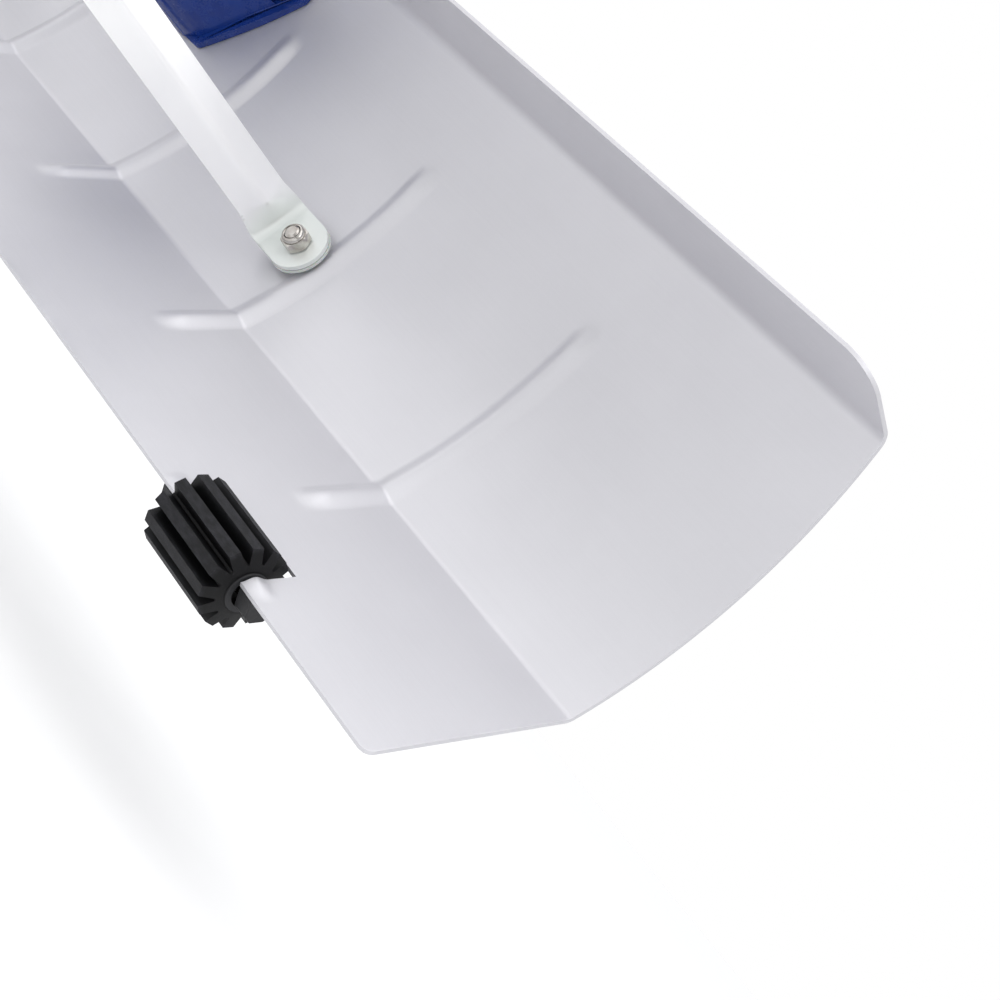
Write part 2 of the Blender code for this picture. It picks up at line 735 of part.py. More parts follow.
def brace_ends():
    """The strap's two bolt centres on the right, its mid-surface at each, and each end's width direction."""
    s = s_at_height(BRACE_BOLT_HEIGHT)
    blade_end, _ = blade_place(BRACE_BOLT_X, s, brace_lift())
    lean = on_section(s)[2]
    pole_x = OUTER_RADIUS + GAP + BRACE_SHEET / 2
    pole_end = (
        pole_x,
        POLE_START[1] - BRACE_POLE_T * math.cos(POLE_DROP),
        POLE_START[2] - BRACE_POLE_T * math.sin(POLE_DROP),
    )
    blade_up = Vector((0, math.sin(lean), math.cos(lean)))
    pole_up = Vector((0, -math.sin(POLE_DROP), math.cos(POLE_DROP)))
    return Vector(blade_end), Vector(pole_end), blade_up, pole_up


def filleted(before, corner, after, radius, steps):
    """Points round a bend of this radius at corner, on a path from before to after."""
    back = (before - corner).normalized()
    ahead = (after - corner).normalized()
    half_turn = back.angle(ahead) / 2
    start = corner + back * radius / math.tan(half_turn)
    centre = corner + (back + ahead).normalized() * radius / math.sin(half_turn)
    total = math.pi - 2 * half_turn
    arm = start - centre
    axis = arm.cross(ahead).normalized()
    side = axis.cross(arm)
    return [
        centre + arm * math.cos(total * k / steps) + side * math.sin(total * k / steps)
        for k in range(steps + 1)
    ]


def brace_path():
    """(point, distance from the nearer flat end) along the strap's middle, from the blade to the pole."""
    blade_bolt, pole_bolt, _, _ = brace_ends()
    outwards = Vector((1, 0, 0))
    down_pole = Vector((0, -math.cos(POLE_DROP), -math.sin(POLE_DROP)))
    blade_tip = blade_bolt + outwards * TAB_PAST_BOLT
    blade_corner = blade_bolt - outwards * (TAB_BEFORE_BOLT + TAB_BEND_RADIUS)
    pole_corner = pole_bolt - down_pole * POLE_TAB_BEFORE_BOLT
    pole_tip = pole_bolt + down_pole * TAB_PAST_BOLT
    half = BRACE_WIDTH / 2
    round_end = [half * (1 - math.cos(math.radians(a))) for a in (0, 20, 40, 62, 90)]
    points = [blade_tip - outwards * d for d in round_end]
    points += filleted(blade_tip, blade_corner, pole_corner, TAB_BEND_RADIUS, 4)
    body = (pole_corner - blade_corner).normalized()
    points += [blade_corner + body * (TAB_BEND_RADIUS + FOLD_RUN * k / 3) for k in range(1, 4)]
    points += [pole_corner - body * (TAB_BEND_RADIUS + FOLD_RUN * k / 3) for k in range(3, 0, -1)]
    points += filleted(blade_corner, pole_corner, pole_tip, 0.012, 2)
    points += [pole_tip - down_pole * d for d in reversed(round_end)]
    return points


def brace_flatness(point):
    """1 on the flat ends, 0 along the folded strap."""
    blade_bolt, pole_bolt, _, _ = brace_ends()
    blade_run = (point - blade_bolt).length - TAB_BEFORE_BOLT - TAB_BEND_RADIUS
    pole_run = (point - pole_bolt).length - POLE_TAB_BEFORE_BOLT - TAB_BEND_RADIUS
    t = max(0.0, min(1.0, min(blade_run, pole_run) / FOLD_RUN))
    return 1 - t * t * (3 - 2 * t)


def brace_mesh(side):
    """The open mid-surface of a strap that is folded to a shallow V between two flat round ends."""
    blade_bolt, pole_bolt, blade_up, pole_up = brace_ends()
    path = brace_path()
    half = BRACE_WIDTH / 2
    across = (-1, -0.5, 0, 0.5, 1)
    bm = bmesh.new()
    bmesh.ops.create_grid(bm, x_segments=len(path) - 1, y_segments=len(across) - 1, size=1)
    for vert in bm.verts:
        i = round((vert.co.x + 1) / 2 * (len(path) - 1))
        c = across[round((vert.co.y + 1) * 2)]
        point = path[i]
        tangent = (path[min(i + 1, len(path) - 1)] - path[max(i - 1, 0)]).normalized()
        share = (point.y - blade_bolt.y) / (pole_bolt.y - blade_bolt.y)
        share = max(0.0, min(1.0, share))
        up = (blade_up * (1 - share) + pole_up * share).normalized()
        outward = tangent.cross(up).normalized()
        flat = brace_flatness(point)
        width = BRACE_FOLDED_WIDTH / 2 + (half - BRACE_FOLDED_WIDTH / 2) * flat
        to_tip = min((point - path[0]).length, (point - path[-1]).length)
        if to_tip < half:
            width = math.sqrt(max(0.0, half**2 - (half - to_tip) ** 2))
        ridge = BRACE_FOLD_DEPTH * (1 - flat) * (1 - abs(c))
        co = point + up * (c * width) - outward * ridge
        vert.co = (side * co.x, co.y, co.z)
    bmesh.ops.remove_doubles(bm, verts=bm.verts, dist=1e-6)
    return mesh_from(bm, "brace")


def make_brace(name, side, parent, pole):
    brace = make_object(f"brace_{name}", brace_mesh(side), parent, ALUMINIUM_BRIGHT)
    smooth(brace)
    solidify = brace.modifiers.new("strap", "SOLIDIFY")
    solidify.thickness = BRACE_SHEET
    solidify.offset = 0
    solidify.use_even_offset = True
    s = s_at_height(BRACE_BOLT_HEIGHT)
    boolean(brace, bolt_hole(f"brace_tab_hole_{name}", side * BRACE_BOLT_X, s, parent))
    boolean(brace, cross_hole(f"brace_cross_hole_{name}", pole, BRACE_POLE_T))

    def at(lift):
        return blade_place(side * BRACE_BOLT_X, s, lift)

    disc_low = RIB_HEIGHT + GAP
    disc_high = disc_low + BUSH_DISC
    bore = BOLT_RADIUS + BOLT_HOLE_GAP
    bush = [
        (BUSH_DISC_RADIUS, disc_high),
        (BUSH_DISC_RADIUS, disc_low),
        (BUSH_BOSS_RADIUS, disc_low),
        (BUSH_BOSS_RADIUS, GAP),
        (bore, GAP),
        (bore, disc_high),
    ]
    turned(f"brace_bush_{name}", bush, parent, PLASTIC_CLEAR, *at(0), closed=True)
    head = at(-SHEET - GAP)
    nut_lift = brace_lift() + BRACE_SHEET / 2 + GAP
    make_bolt(f"brace_blade_bolt_{name}", parent, STEEL, *head, nut_lift + SHEET + GAP)
    make_nut(f"brace_blade_nut_{name}", parent, *at(nut_lift))


def make_bracket_fasteners(name, side, parent):
    def at(lift):
        return blade_place(side * BRACKET_BOLT_X, POLE_S + BRACKET_BOLT_UP, lift)

    washer_lift = FOOT_THICKNESS + GAP
    nut_lift = washer_lift + WASHER + GAP
    make_bolt(f"bracket_bolt_{name}", parent, STEEL, *at(-SHEET - GAP), nut_lift + SHEET + GAP)
    make_washer(f"bracket_washer_{name}", parent, *at(washer_lift))
    make_nut(f"bracket_nut_{name}", parent, *at(nut_lift))


# ---------------------------------------------------------------- the pole

def make_outer_pole(pole):
    profile = ring(OUTER_RADIUS - TUBE_WALL, OUTER_RADIUS, 0, OUTER_TUBE_LENGTH)
    tube = turned("outer_pole", profile, pole, TUBE_ALUMINIUM, (0, 0, POLE_STANDOFF), closed=True, steps=32)
    boolean(tube, cross_hole("outer_pole_socket_hole", pole, socket_bolt_t()))
    return tube


def make_inner_pole(slider):
    """The inner tube. It slides, and its own end bush runs in the outer tube."""
    profile = ring(INNER_RADIUS - TUBE_WALL, INNER_RADIUS, INNER_START, INNER_END)
    turned("inner_pole", profile, slider, TUBE_ALUMINIUM, closed=True)
    bore = INNER_RADIUS - TUBE_WALL - GAP
    head = OUTER_RADIUS - TUBE_WALL - RUNNING_GAP
    start = INNER_START
    bush = [
        (bore - 0.003, start + 0.016),
        (bore, start + 0.015),
        (bore, start - GAP),
        (head - 0.001, start - GAP),
        (head, start - 0.0015),
        (head, start - BUSH_HEAD + 0.001),
        (head - 0.001, start - BUSH_HEAD),
        (bore - 0.003, start - BUSH_HEAD),
    ]
    turned("inner_pole_bush", bush, slider, PLASTIC_BLACK, closed=True)


def make_grip(slider):
    """A moulded sleeve with finger grooves, and the cap on the pole's end."""
    bore = INNER_RADIUS + GAP
    low = INNER_END - CAP_RIM - GRIP_LENGTH
    high = INNER_END - CAP_RIM - GAP
    profile = [(GRIP_RADIUS - 0.002, high), (GRIP_RADIUS, high - 0.003)]
    grooves = 5
    pitch = (GRIP_LENGTH - 0.030) / grooves
    for k in range(grooves):
        middle = high - 0.015 - pitch * (k + 0.5)
        for part, depth in ((0.34, 0), (0.14, 0.0014), (-0.14, 0.0014), (-0.34, 0)):
            profile.append((GRIP_RADIUS - depth, middle + part * pitch))
    profile += [(GRIP_RADIUS, low + 0.004), (GRIP_RADIUS - 0.003, low), (bore, low), (bore, high)]
    turned("grip", profile, slider, RUBBER_GRIP, closed=True)
    spigot = INNER_RADIUS - TUBE_WALL - GAP
    cap = [
        (0, POLE_END),
        (CAP_RADIUS, POLE_END),
        (CAP_RADIUS, INNER_END - CAP_RIM + 0.0015),
        (CAP_RADIUS - 0.0015, INNER_END - CAP_RIM),
        (INNER_RADIUS + GAP, INNER_END - CAP_RIM),
        (INNER_RADIUS + GAP, INNER_END + GAP),
        (spigot, INNER_END + GAP),
        (spigot, INNER_END - CAP_RIM),
        (0, INNER_END - CAP_RIM),
    ]
    turned("end_cap", cap, slider, PLASTIC_BLACK)


# ---------------------------------------------------------------- the flip lock

def lock_centre():
    return OUTER_END + (LOCK_ABOVE - LOCK_BELOW) / 2


def make_lock_collar(pole):
    """A split collar over the outer tube's end, with two ears that the lever's screw draws together."""
    bore = OUTER_RADIUS + GAP
    wall = bore + LOCK_WALL
    throat = INNER_RADIUS + RUNNING_GAP
    low = OUTER_END - LOCK_BELOW
    high = OUTER_END + LOCK_ABOVE
    lip = 0.0015
    collar = turned(
        "lock_collar",
        [
            (wall - 2 * lip, high),
            (wall, high - 2 * lip),
            (wall, low + lip),
            (wall - lip, low),
            (bore, low),
            (bore, OUTER_END + GAP),
            (throat, OUTER_END + GAP),
            (throat, high),
        ],
        pole, PLASTIC_BLACK, closed=True, steps=32,
    )
    ears = box_mesh(
        "ears",
        (-EAR_HALF_WIDTH, bore + LOCK_WALL / 2, -EAR_HALF_LENGTH),
        (EAR_HALF_WIDTH, EAR_TOP, EAR_HALF_LENGTH),
    )
    boolean(collar, make_object("lock_ears", ears, pole, None, (0, 0, lock_centre())), "UNION")
    slit = box_mesh("slit", (-LOCK_SLIT / 2, 0, -0.04), (LOCK_SLIT / 2, EAR_TOP + 0.002, 0.04))
    boolean(collar, make_object("lock_slit", slit, pole, None, (0, 0, lock_centre())))
    hole = cylinder_mesh("ear_hole", BOLT_RADIUS + BOLT_HOLE_GAP, -0.02, 0.02, 16)
    place = (0, SCREW_UP, lock_centre())
    boolean(collar, make_object("lock_ear_hole", hole, pole, None, place, (0, math.pi / 2, 0)))
    return collar


def make_lock_screw(pole):
    """A screw along X through the ears. Its eye holds the lever's pin, and a nut sets how tight it clamps."""
    place = (0, SCREW_UP, lock_centre())
    nut_x = -EAR_HALF_WIDTH - GAP
    end_x = nut_x - NUT_HEIGHT - BOLT_PAST_NUT
    shank = cylinder_mesh("lock_screw", BOLT_RADIUS, end_x, LEVER_PIN_X, 16)
    screw = make_object("lock_screw", shank, pole, STEEL, place, (0, math.pi / 2, 0))
    half = SCREW_EYE / 2
    eye = cylinder_mesh("eye", SCREW_EYE_RADIUS, -half, half, 24)
    pin_place = (LEVER_PIN_X, SCREW_UP, lock_centre())
    boolean(screw, make_object("lock_screw_eye", eye, pole, None, pin_place), "UNION")
    hole = cylinder_mesh("eye_hole", LEVER_PIN_RADIUS + RUNNING_GAP, -0.02, 0.02, 16)
    boolean(screw, make_object("lock_screw_eye_hole", hole, pole, None, pin_place))
    make_nut("lock_nut", pole, (nut_x, SCREW_UP, lock_centre()), (0, -math.pi / 2, 0))


def make_lever_pin(pole):
    half = EAR_HALF_LENGTH - 0.0004
    r = LEVER_PIN_RADIUS
    chamfer = 0.0003
    profile = [
        (0, half),
        (r - chamfer, half),
        (r, half - chamfer),
        (r, chamfer - half),
        (r - chamfer, -half),
        (0, -half),
    ]
    turned("lever_pin", profile, pole, STEEL, (LEVER_PIN_X, SCREW_UP, lock_centre()), steps=16)


def make_lever(pole):
    """The flip lever. Its origin is on its pin, and its arm wraps the collar's side when it is shut."""
    half = LEVER_LENGTH / 2
    pin = Vector((LEVER_PIN_X, SCREW_UP))
    clear = OUTER_RADIUS + GAP + LOCK_WALL + 0.0012
    outer = clear + LEVER_THICKNESS
    start, end = LEVER_SWEEP
    inside = arc((0, 0), clear, start, end, 8)
    outside = arc((0, 0), outer, end, start, 8)
    tip = [(outside[0][0] + 0.0035, outside[0][1] - 0.0025)]
    tip_inner = [(inside[-1][0] + 0.0005, inside[-1][1] - 0.0030)]
    shoulder = [(pin.x + LEVER_CAM_RADIUS, pin.y), (pin.x - 0.001, pin.y - LEVER_CAM_RADIUS + 0.0008)]
    outline = inside + tip_inner + tip + outside + shoulder
    outline = [(x - pin.x, y - pin.y) for x, y in outline]
    place = (pin.x, pin.y, lock_centre())
    arm = outline_mesh("lock_lever", [outline], -half, half)
    lever = make_object("lock_lever", arm, pole, PLASTIC_BLUE, place)
    cam = cylinder_mesh("cam", LEVER_CAM_RADIUS, -half, half, 24)
    cam_place = (pin.x - LEVER_CAM_OFFSET, pin.y, lock_centre())
    boolean(lever, make_object("lever_cam", cam, pole, None, cam_place), "UNION")
    slot_half = SCREW_EYE / 2 + 0.0004
    slot = cylinder_mesh("slot", LEVER_CAM_RADIUS + LEVER_CAM_OFFSET + 0.0006, -slot_half, slot_half, 24)
    boolean(lever, make_object("lever_slot", slot, pole, None, place))
    hole = cylinder_mesh("hole", LEVER_PIN_RADIUS + RUNNING_GAP, -0.02, 0.02, 16)
    boolean(lever, make_object("lever_hole", hole, pole, None, place))
    return lever


# ---------------------------------------------------------------- assembly

clear_scene()
PARTS = make_collection("roof_rake")
CUTTERS = make_collection("cutters")

ALUMINIUM = make_material("satin_aluminium", (0.66, 0.66, 0.70), 0.42, 0.85)
ALUMINIUM_BRIGHT = make_material("bright_aluminium", (0.82, 0.82, 0.85), 0.30, 0.9)
TUBE_ALUMINIUM = make_material("tube_aluminium", (0.72, 0.73, 0.75), 0.35, 0.9)
STEEL = make_material("stainless_steel", (0.55, 0.53, 0.50), 0.28, 1.0)
RUBBER = make_material("roller_rubber", (0.016, 0.016, 0.018), 0.55)
RUBBER_GRIP = make_material("grip_rubber", (0.02, 0.02, 0.022), 0.75)
PLASTIC_BLACK = make_material("black_plastic", (0.018, 0.018, 0.020), 0.45)
PLASTIC_BLUE = make_material("blue_plastic", (0.012, 0.045, 0.25), 0.30)
PLASTIC_CLEAR = make_material("clear_nylon", (0.80, 0.83, 0.80), 0.20)

head_frame = make_empty("head_frame", location=(0, -(FRONT_Y + BACK_Y) / 2, EDGE_HEIGHT))
pole_frame = make_empty("pole_frame", head_frame, POLE_START, (math.pi / 2 + POLE_DROP, 0, 0))

make_blade(head_frame)
make_bracket(head_frame, pole_frame)
make_outer_pole(pole_frame)
for end_name, end_side in SIDES:
    make_bracket_fasteners(end_name, end_side, head_frame)
    make_brace(end_name, end_side, head_frame, pole_frame)
    make_roller(f"roller_{end_name}", end_side, head_frame)
    make_axle(f"roller_axle_{end_name}", end_side, head_frame)
    for holder_name, holder_side in (("inner", -end_side), ("outer", end_side)):
        make_axle_holder(f"axle_holder_{end_name}_{holder_name}", end_side, holder_side, head_frame)

boolean(bpy.data.objects["outer_pole"], cross_hole("outer_pole_brace_hole", pole_frame, BRACE_POLE_T))
make_cross_bolt("socket", pole_frame, socket_bolt_t(), OUTER_RADIUS + GAP + COLLAR_WALL + GAP)
make_cross_bolt("brace_pole", pole_frame, BRACE_POLE_T, OUTER_RADIUS + BRACE_SHEET + 2 * GAP)
make_inner_pole(pole_frame)
make_grip(pole_frame)
make_lock_collar(pole_frame)
make_lock_screw(pole_frame)
make_lever_pin(pole_frame)
make_lever(pole_frame)
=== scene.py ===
"""The looks of the snow roof rake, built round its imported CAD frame.

Metres. Places on the blade are X along it, s up its bent section from the scraping edge, and lift, the
distance off its working face. Places on the pole are X, up, and t, the distance from the blade.
"""

import json
import math

import bmesh
import bpy
import numpy as np
from mathutils import Matrix, Vector


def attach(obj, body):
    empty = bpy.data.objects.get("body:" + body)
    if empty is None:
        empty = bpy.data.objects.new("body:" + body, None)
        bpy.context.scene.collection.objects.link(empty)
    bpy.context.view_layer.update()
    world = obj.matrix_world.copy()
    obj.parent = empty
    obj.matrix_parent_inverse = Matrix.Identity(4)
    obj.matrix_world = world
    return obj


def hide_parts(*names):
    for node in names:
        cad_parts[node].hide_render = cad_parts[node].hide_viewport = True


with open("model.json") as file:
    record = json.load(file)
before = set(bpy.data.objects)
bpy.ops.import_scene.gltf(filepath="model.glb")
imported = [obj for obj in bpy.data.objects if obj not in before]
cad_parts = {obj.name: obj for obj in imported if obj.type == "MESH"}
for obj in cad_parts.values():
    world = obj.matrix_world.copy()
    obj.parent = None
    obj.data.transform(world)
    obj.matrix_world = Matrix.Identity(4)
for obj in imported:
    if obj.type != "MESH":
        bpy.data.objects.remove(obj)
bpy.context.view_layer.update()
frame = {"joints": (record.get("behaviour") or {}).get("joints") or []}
JOINTS = {joint["name"]: joint for joint in frame["joints"]}

# ---------------------------------------------------------------- sizes, as in the CAD source

BLADE_LENGTH = 0.635
GAP = 0.0003
RUNNING_GAP = 0.0002
SHEET = 0.0012
LIP = 0.0607
LIP_LEAN = math.radians(47.3)
CREASE_RADIUS = 0.004
PANEL_FOOT_LEAN = math.radians(16.6)
PANEL_RADIUS = 0.146
PANEL_TOP_LEAN = math.radians(-24.0)
FLANGE_BEND_RADIUS = 0.0045
FLANGE_LEAN = math.radians(-83.2)
FLANGE = 0.0252
FLANGE_CORNER_RADIUS = 0.011
LIP_CORNER_RADIUS = 0.003
RIB_PITCH = 0.089
RIB_PAIRS = 3
RIB_HALF_WIDTH = 0.006
RIB_HEIGHT = 0.0026
RIB_CREST = 0.0019
RIB_BELOW_CREASE = 0.029
RIB_ABOVE_CREASE = 0.078
RIB_FADE = 0.011
ROLLER_INSET = 0.0829
ROLLER_LENGTH = 0.036
ROLLER_RADIUS = 0.0128
ROLLER_TIP_RADIUS = 0.01265
ROLLER_PHASE = math.radians(-5)
ROLLER_RIBS = 12
ROLLER_RIB_TIP = 0.0032
ROLLER_RIB_FOOT = 0.0037
ROLLER_CORE_RADIUS = 0.0083
ROLLER_HUB_RADIUS = 0.0070
ROLLER_HUB_RECESS = 0.0045
ROLLER_CHAMFER = 0.0020
ROLLER_RING_RADIUS = 0.0062
ROLLER_RING_STEP = 0.0005
NOTCH_SIDE_GAP = 0.001
NOTCH_END_GAP = 0.0006
AXLE_UP_LIP = 0.0040
AXLE_SINK = 0.0050
AXLE_RADIUS = 0.0022
HOLDER_LENGTH = 0.0062
HOLDER_HALF_WIDTH = 0.0038
HOLDER_WALL = 0.0016
ARCH_HEIGHT = 0.0012
ARCH_HALF_WIDTH = 0.0040
ARCH_FADE = 0.003
OUTER_RADIUS = 0.0140
INNER_RADIUS = 0.0120
OUTER_TUBE_LENGTH = 1.30
INNER_TUBE_LENGTH = 1.065
TUBE_WALL = 0.0012
POLE_ON_PANEL = 0.6207
POLE_STANDOFF = 0.007
BUSH_TO_BRACE_BOLT = 0.015
BUSH_HEAD = 0.010
GRIP_LENGTH = 0.150
GRIP_RADIUS = 0.0165
GRIP_END = 0.015
GRIP_WAVES = 5
GRIP_WAVE_DEPTH = 0.0015
CAP_RADIUS = 0.0175
CAP_RIM = 0.014
CAP_FLOOR = 0.003
FOOT_THICKNESS = 0.0035
FOOT_BOTTOM = -0.0160
FOOT_SHOULDER = 0.0205
FOOT_TOP = 0.0295
FOOT_HALF_BOTTOM = 0.0130
FOOT_HALF_TOP = 0.0380
FOOT_RIM = 0.003
BLOCK_REACH = 0.034
BLOCK_HALF_WIDTH = 0.0150
BLOCK_LOW = 0.003
BLOCK_HIGH = 0.016
SOCKET_WALL = 0.0027
SOCKET_REACH = 0.062
COLLAR_LENGTH = 0.020
COLLAR_WALL = 0.0042
BRACKET_BOLT_X = 0.0285
BRACKET_BOLT_UP = 0.0205
BOLT_POCKET_RADIUS = 0.0068
BRACE_SHEET = 0.0014
BRACE_WIDTH = 0.019
BRACE_FOLDED_WIDTH = 0.0158
BRACE_FOLD_DEPTH = 0.0052
BRACE_BOLT_X = 0.124
BRACE_BOLT_HEIGHT = 0.0705
BRACE_POLE_T = 0.425
TAB_PAST_BOLT = 0.0095
TAB_BEFORE_BOLT = 0.0085
POLE_TAB_BEFORE_BOLT = 0.014
TAB_BEND_RADIUS = 0.004
FOLD_RUN = 0.008
BUSH_BOSS_RADIUS = 0.0038
BUSH_DISC_RADIUS = 0.0098
BUSH_DISC = 0.0010
BOLT_RADIUS = 0.0025
BOLT_HOLE_GAP = 0.0003
CROSS_REACH = 0.04
SHEET_REACH = 0.012
BOLT_HEAD_RADIUS = 0.0046
BOLT_HEAD_HEIGHT = 0.0030
BOLT_SOCKET_RADIUS = 0.0017
BOLT_SOCKET_DEPTH = 0.0018
BOLT_PAST_NUT = 0.0004
THREAD_DEPTH = 0.0003
THREAD_PITCH = 0.0008
NUT_FLATS = 0.0080
NUT_HEX = 0.0036
NUT_HEIGHT = 0.0052
NUT_COLLAR_RADIUS = 0.0037
NUT_ROUND = 0.0010
WASHER_RADIUS = 0.0052
WASHER = 0.0010
LOCK_BELOW = 0.030
LOCK_ABOVE = 0.018
LOCK_WALL = 0.0042
EAR_HALF_WIDTH = 0.0080
EAR_TOP = OUTER_RADIUS + 0.0170
EAR_HALF_LENGTH = 0.0110
LOCK_SLIT = 0.0030
SCREW_UP = OUTER_RADIUS + 0.0100
LEVER_PIN_X = 0.0150
LEVER_PIN_RADIUS = 0.0020
SCREW_EYE_RADIUS = 0.0044
SCREW_EYE = 0.0060
LEVER_CAM_RADIUS = 0.0058
LEVER_CAM_OFFSET = 0.0005
LEVER_LENGTH = 0.0180
LEVER_THICKNESS = 0.0036
LEVER_GROOVE_RADIUS = 0.0006
LOCK_REACH = 0.02
LEVER_SWEEP = (math.radians(44), math.radians(-42))
SIDES = (("left", -1), ("right", 1))
FLOOR_RADIUS = 40.0
FLOOR_DROP = 0.049  # leaves room for the sloping pole when it is drawn right out

# ---------------------------------------------------------------- the blade's section

SECTION = (
    ("lip", LIP, LIP_LEAN, LIP_LEAN),
    ("crease", CREASE_RADIUS * (LIP_LEAN - PANEL_FOOT_LEAN), LIP_LEAN, PANEL_FOOT_LEAN),
    ("panel", PANEL_RADIUS * (PANEL_FOOT_LEAN - PANEL_TOP_LEAN), PANEL_FOOT_LEAN, PANEL_TOP_LEAN),
    ("bend", FLANGE_BEND_RADIUS * (PANEL_TOP_LEAN - FLANGE_LEAN), PANEL_TOP_LEAN, FLANGE_LEAN),
    ("flange", FLANGE, FLANGE_LEAN, FLANGE_LEAN),
)


def section_start(name):
    run = 0.0
    for stretch, length, _, _ in SECTION:
        if stretch == name:
            return run
        run += length
    return run


def on_section(s):
    """(y, z, lean) of the working face at s, from the scraping edge."""
    y = z = 0.0
    for name, length, lean, end_lean in SECTION:
        part = s if name == "flange" else min(s, length)
        turn = (end_lean - lean) * part / length
        if abs(end_lean - lean) < 1e-9:
            y += part * math.sin(lean)
            z += part * math.cos(lean)
        else:
            radius = length / (lean - end_lean)
            y += radius * (math.cos(lean + turn) - math.cos(lean))
            z += radius * (math.sin(lean) - math.sin(lean + turn))
        s -= part
        if s <= 1e-12:
            return y, z, lean + turn
    return y, z, lean


def s_at_height(height):
    _, foot_z, _ = on_section(section_start("panel"))
    lean = math.asin(math.sin(PANEL_FOOT_LEAN) - (height - foot_z) / PANEL_RADIUS)
    return section_start("panel") + PANEL_RADIUS * (PANEL_FOOT_LEAN - lean)


def blade_place(x, s, lift=0.0):
    """A place in the blade's own coordinates. Its Y runs up the section and its Z leaves the face."""
    y, z, lean = on_section(s)
    move = Matrix.Translation((x, y - lift * math.cos(lean), z + lift * math.sin(lean)))
    return move @ Matrix.Rotation(math.pi / 2 - lean, 4, "X")


CREASE_S = section_start("panel") - SECTION[1][1] / 2
RIB_LOW = CREASE_S - RIB_BELOW_CREASE
RIB_HIGH = CREASE_S + RIB_ABOVE_CREASE
RIBS_X = [side * RIB_PITCH * (i + 0.5) for i in range(RIB_PAIRS) for side in (-1, 1)]
ROLLER_X = BLADE_LENGTH / 2 - ROLLER_INSET
NOTCH_HALF = ROLLER_LENGTH / 2 + NOTCH_SIDE_GAP
NOTCH_DEPTH = AXLE_UP_LIP + math.sqrt(ROLLER_RADIUS**2 - AXLE_SINK**2) + NOTCH_END_GAP
ARCH_END = NOTCH_HALF + HOLDER_LENGTH + ARCH_FADE
RIB_STEP = 2 * math.pi / ROLLER_RIBS
BRACE_S = s_at_height(BRACE_BOLT_HEIGHT)
POLE_S = section_start("panel") + POLE_ON_PANEL * PANEL_RADIUS * (PANEL_FOOT_LEAN - PANEL_TOP_LEAN)
BRACKET_BOLT_S = POLE_S + BRACKET_BOLT_UP
OUTER_END = POLE_STANDOFF + OUTER_TUBE_LENGTH
INNER_START = BRACE_POLE_T + BOLT_RADIUS + BUSH_TO_BRACE_BOLT + BUSH_HEAD
INNER_END = INNER_START + INNER_TUBE_LENGTH
POLE_END = INNER_END + GAP + CAP_FLOOR
SOCKET_BOLT_T = SOCKET_REACH - COLLAR_LENGTH / 2
LOCK_T = OUTER_END + (LOCK_ABOVE - LOCK_BELOW) / 2

# Where the blade's coordinates and the pole's lie in the row frame.
ROLLER_AT = Vector(JOINTS["roller_right_spin"]["pos_m"])
HEAD = Matrix.Translation(ROLLER_AT - blade_place(ROLLER_X, AXLE_UP_LIP, -AXLE_SINK).translation)
POLE_WAY = Vector(JOINTS["pole_slide"]["axis"])
POLE_DROP = math.atan2(-POLE_WAY.z, -POLE_WAY.y)
POLE = (
    HEAD
    @ Matrix.Translation(blade_place(0, POLE_S).translation)
    @ Matrix.Rotation(math.pi / 2 + POLE_DROP, 4, "X")
)
ALONG_X = Matrix.Rotation(math.pi / 2, 4, "Y")


def on_axle(x):
    """A place on the rollers' axis, with its Z along X."""
    return HEAD @ Matrix.Translation(blade_place(x, AXLE_UP_LIP, -AXLE_SINK).translation) @ ALONG_X


def on_pole(t, x=0, up=0):
    return POLE @ Matrix.Translation((x, up, t))


def brace_lift():
    return RIB_HEIGHT + GAP + BUSH_DISC + GAP + BRACE_SHEET / 2


def brace_ends():
    """In the blade's coordinates: the strap's bolt centres on the right, and each end's width direction."""
    blade_end = blade_place(BRACE_BOLT_X, BRACE_S, brace_lift()).translation
    lean = on_section(BRACE_S)[2]
    start = blade_place(0, POLE_S).translation
    pole_end = Vector((
        OUTER_RADIUS + GAP + BRACE_SHEET / 2,
        start.y - BRACE_POLE_T * math.cos(POLE_DROP),
        start.z - BRACE_POLE_T * math.sin(POLE_DROP),
    ))
    blade_up = Vector((0, math.sin(lean), math.cos(lean)))
    pole_up = Vector((0, -math.sin(POLE_DROP), math.cos(POLE_DROP)))
    return blade_end, pole_end, blade_up, pole_up


BRACE_REACH = (brace_ends()[0] - brace_ends()[1]).length

# ---------------------------------------------------------------- mesh helpers


def added(name, data, matrix=None):
    """A new object with this data, in the scene."""
    obj = bpy.data.objects.new(name, data)
    bpy.context.scene.collection.objects.link(obj)
    if matrix is not None:
        obj.matrix_world = matrix
    return obj


def finished(bm, name, matrix=None):
    mesh = bpy.data.meshes.new(name)
    bm.to_mesh(mesh)
    bm.free()
    return added(name, mesh, matrix)


def mesh_object(name, verts, faces, matrix=None):
    mesh = bpy.data.meshes.new(name)
    mesh.from_pydata([tuple(v) for v in verts], [], faces)
    bm = bmesh.new()
    bm.from_mesh(mesh)
    bmesh.ops.remove_doubles(bm, verts=bm.verts, dist=1e-7)
    bmesh.ops.recalc_face_normals(bm, faces=bm.faces)
    bm.to_mesh(mesh)
    bm.free()
    return added(name, mesh, matrix)


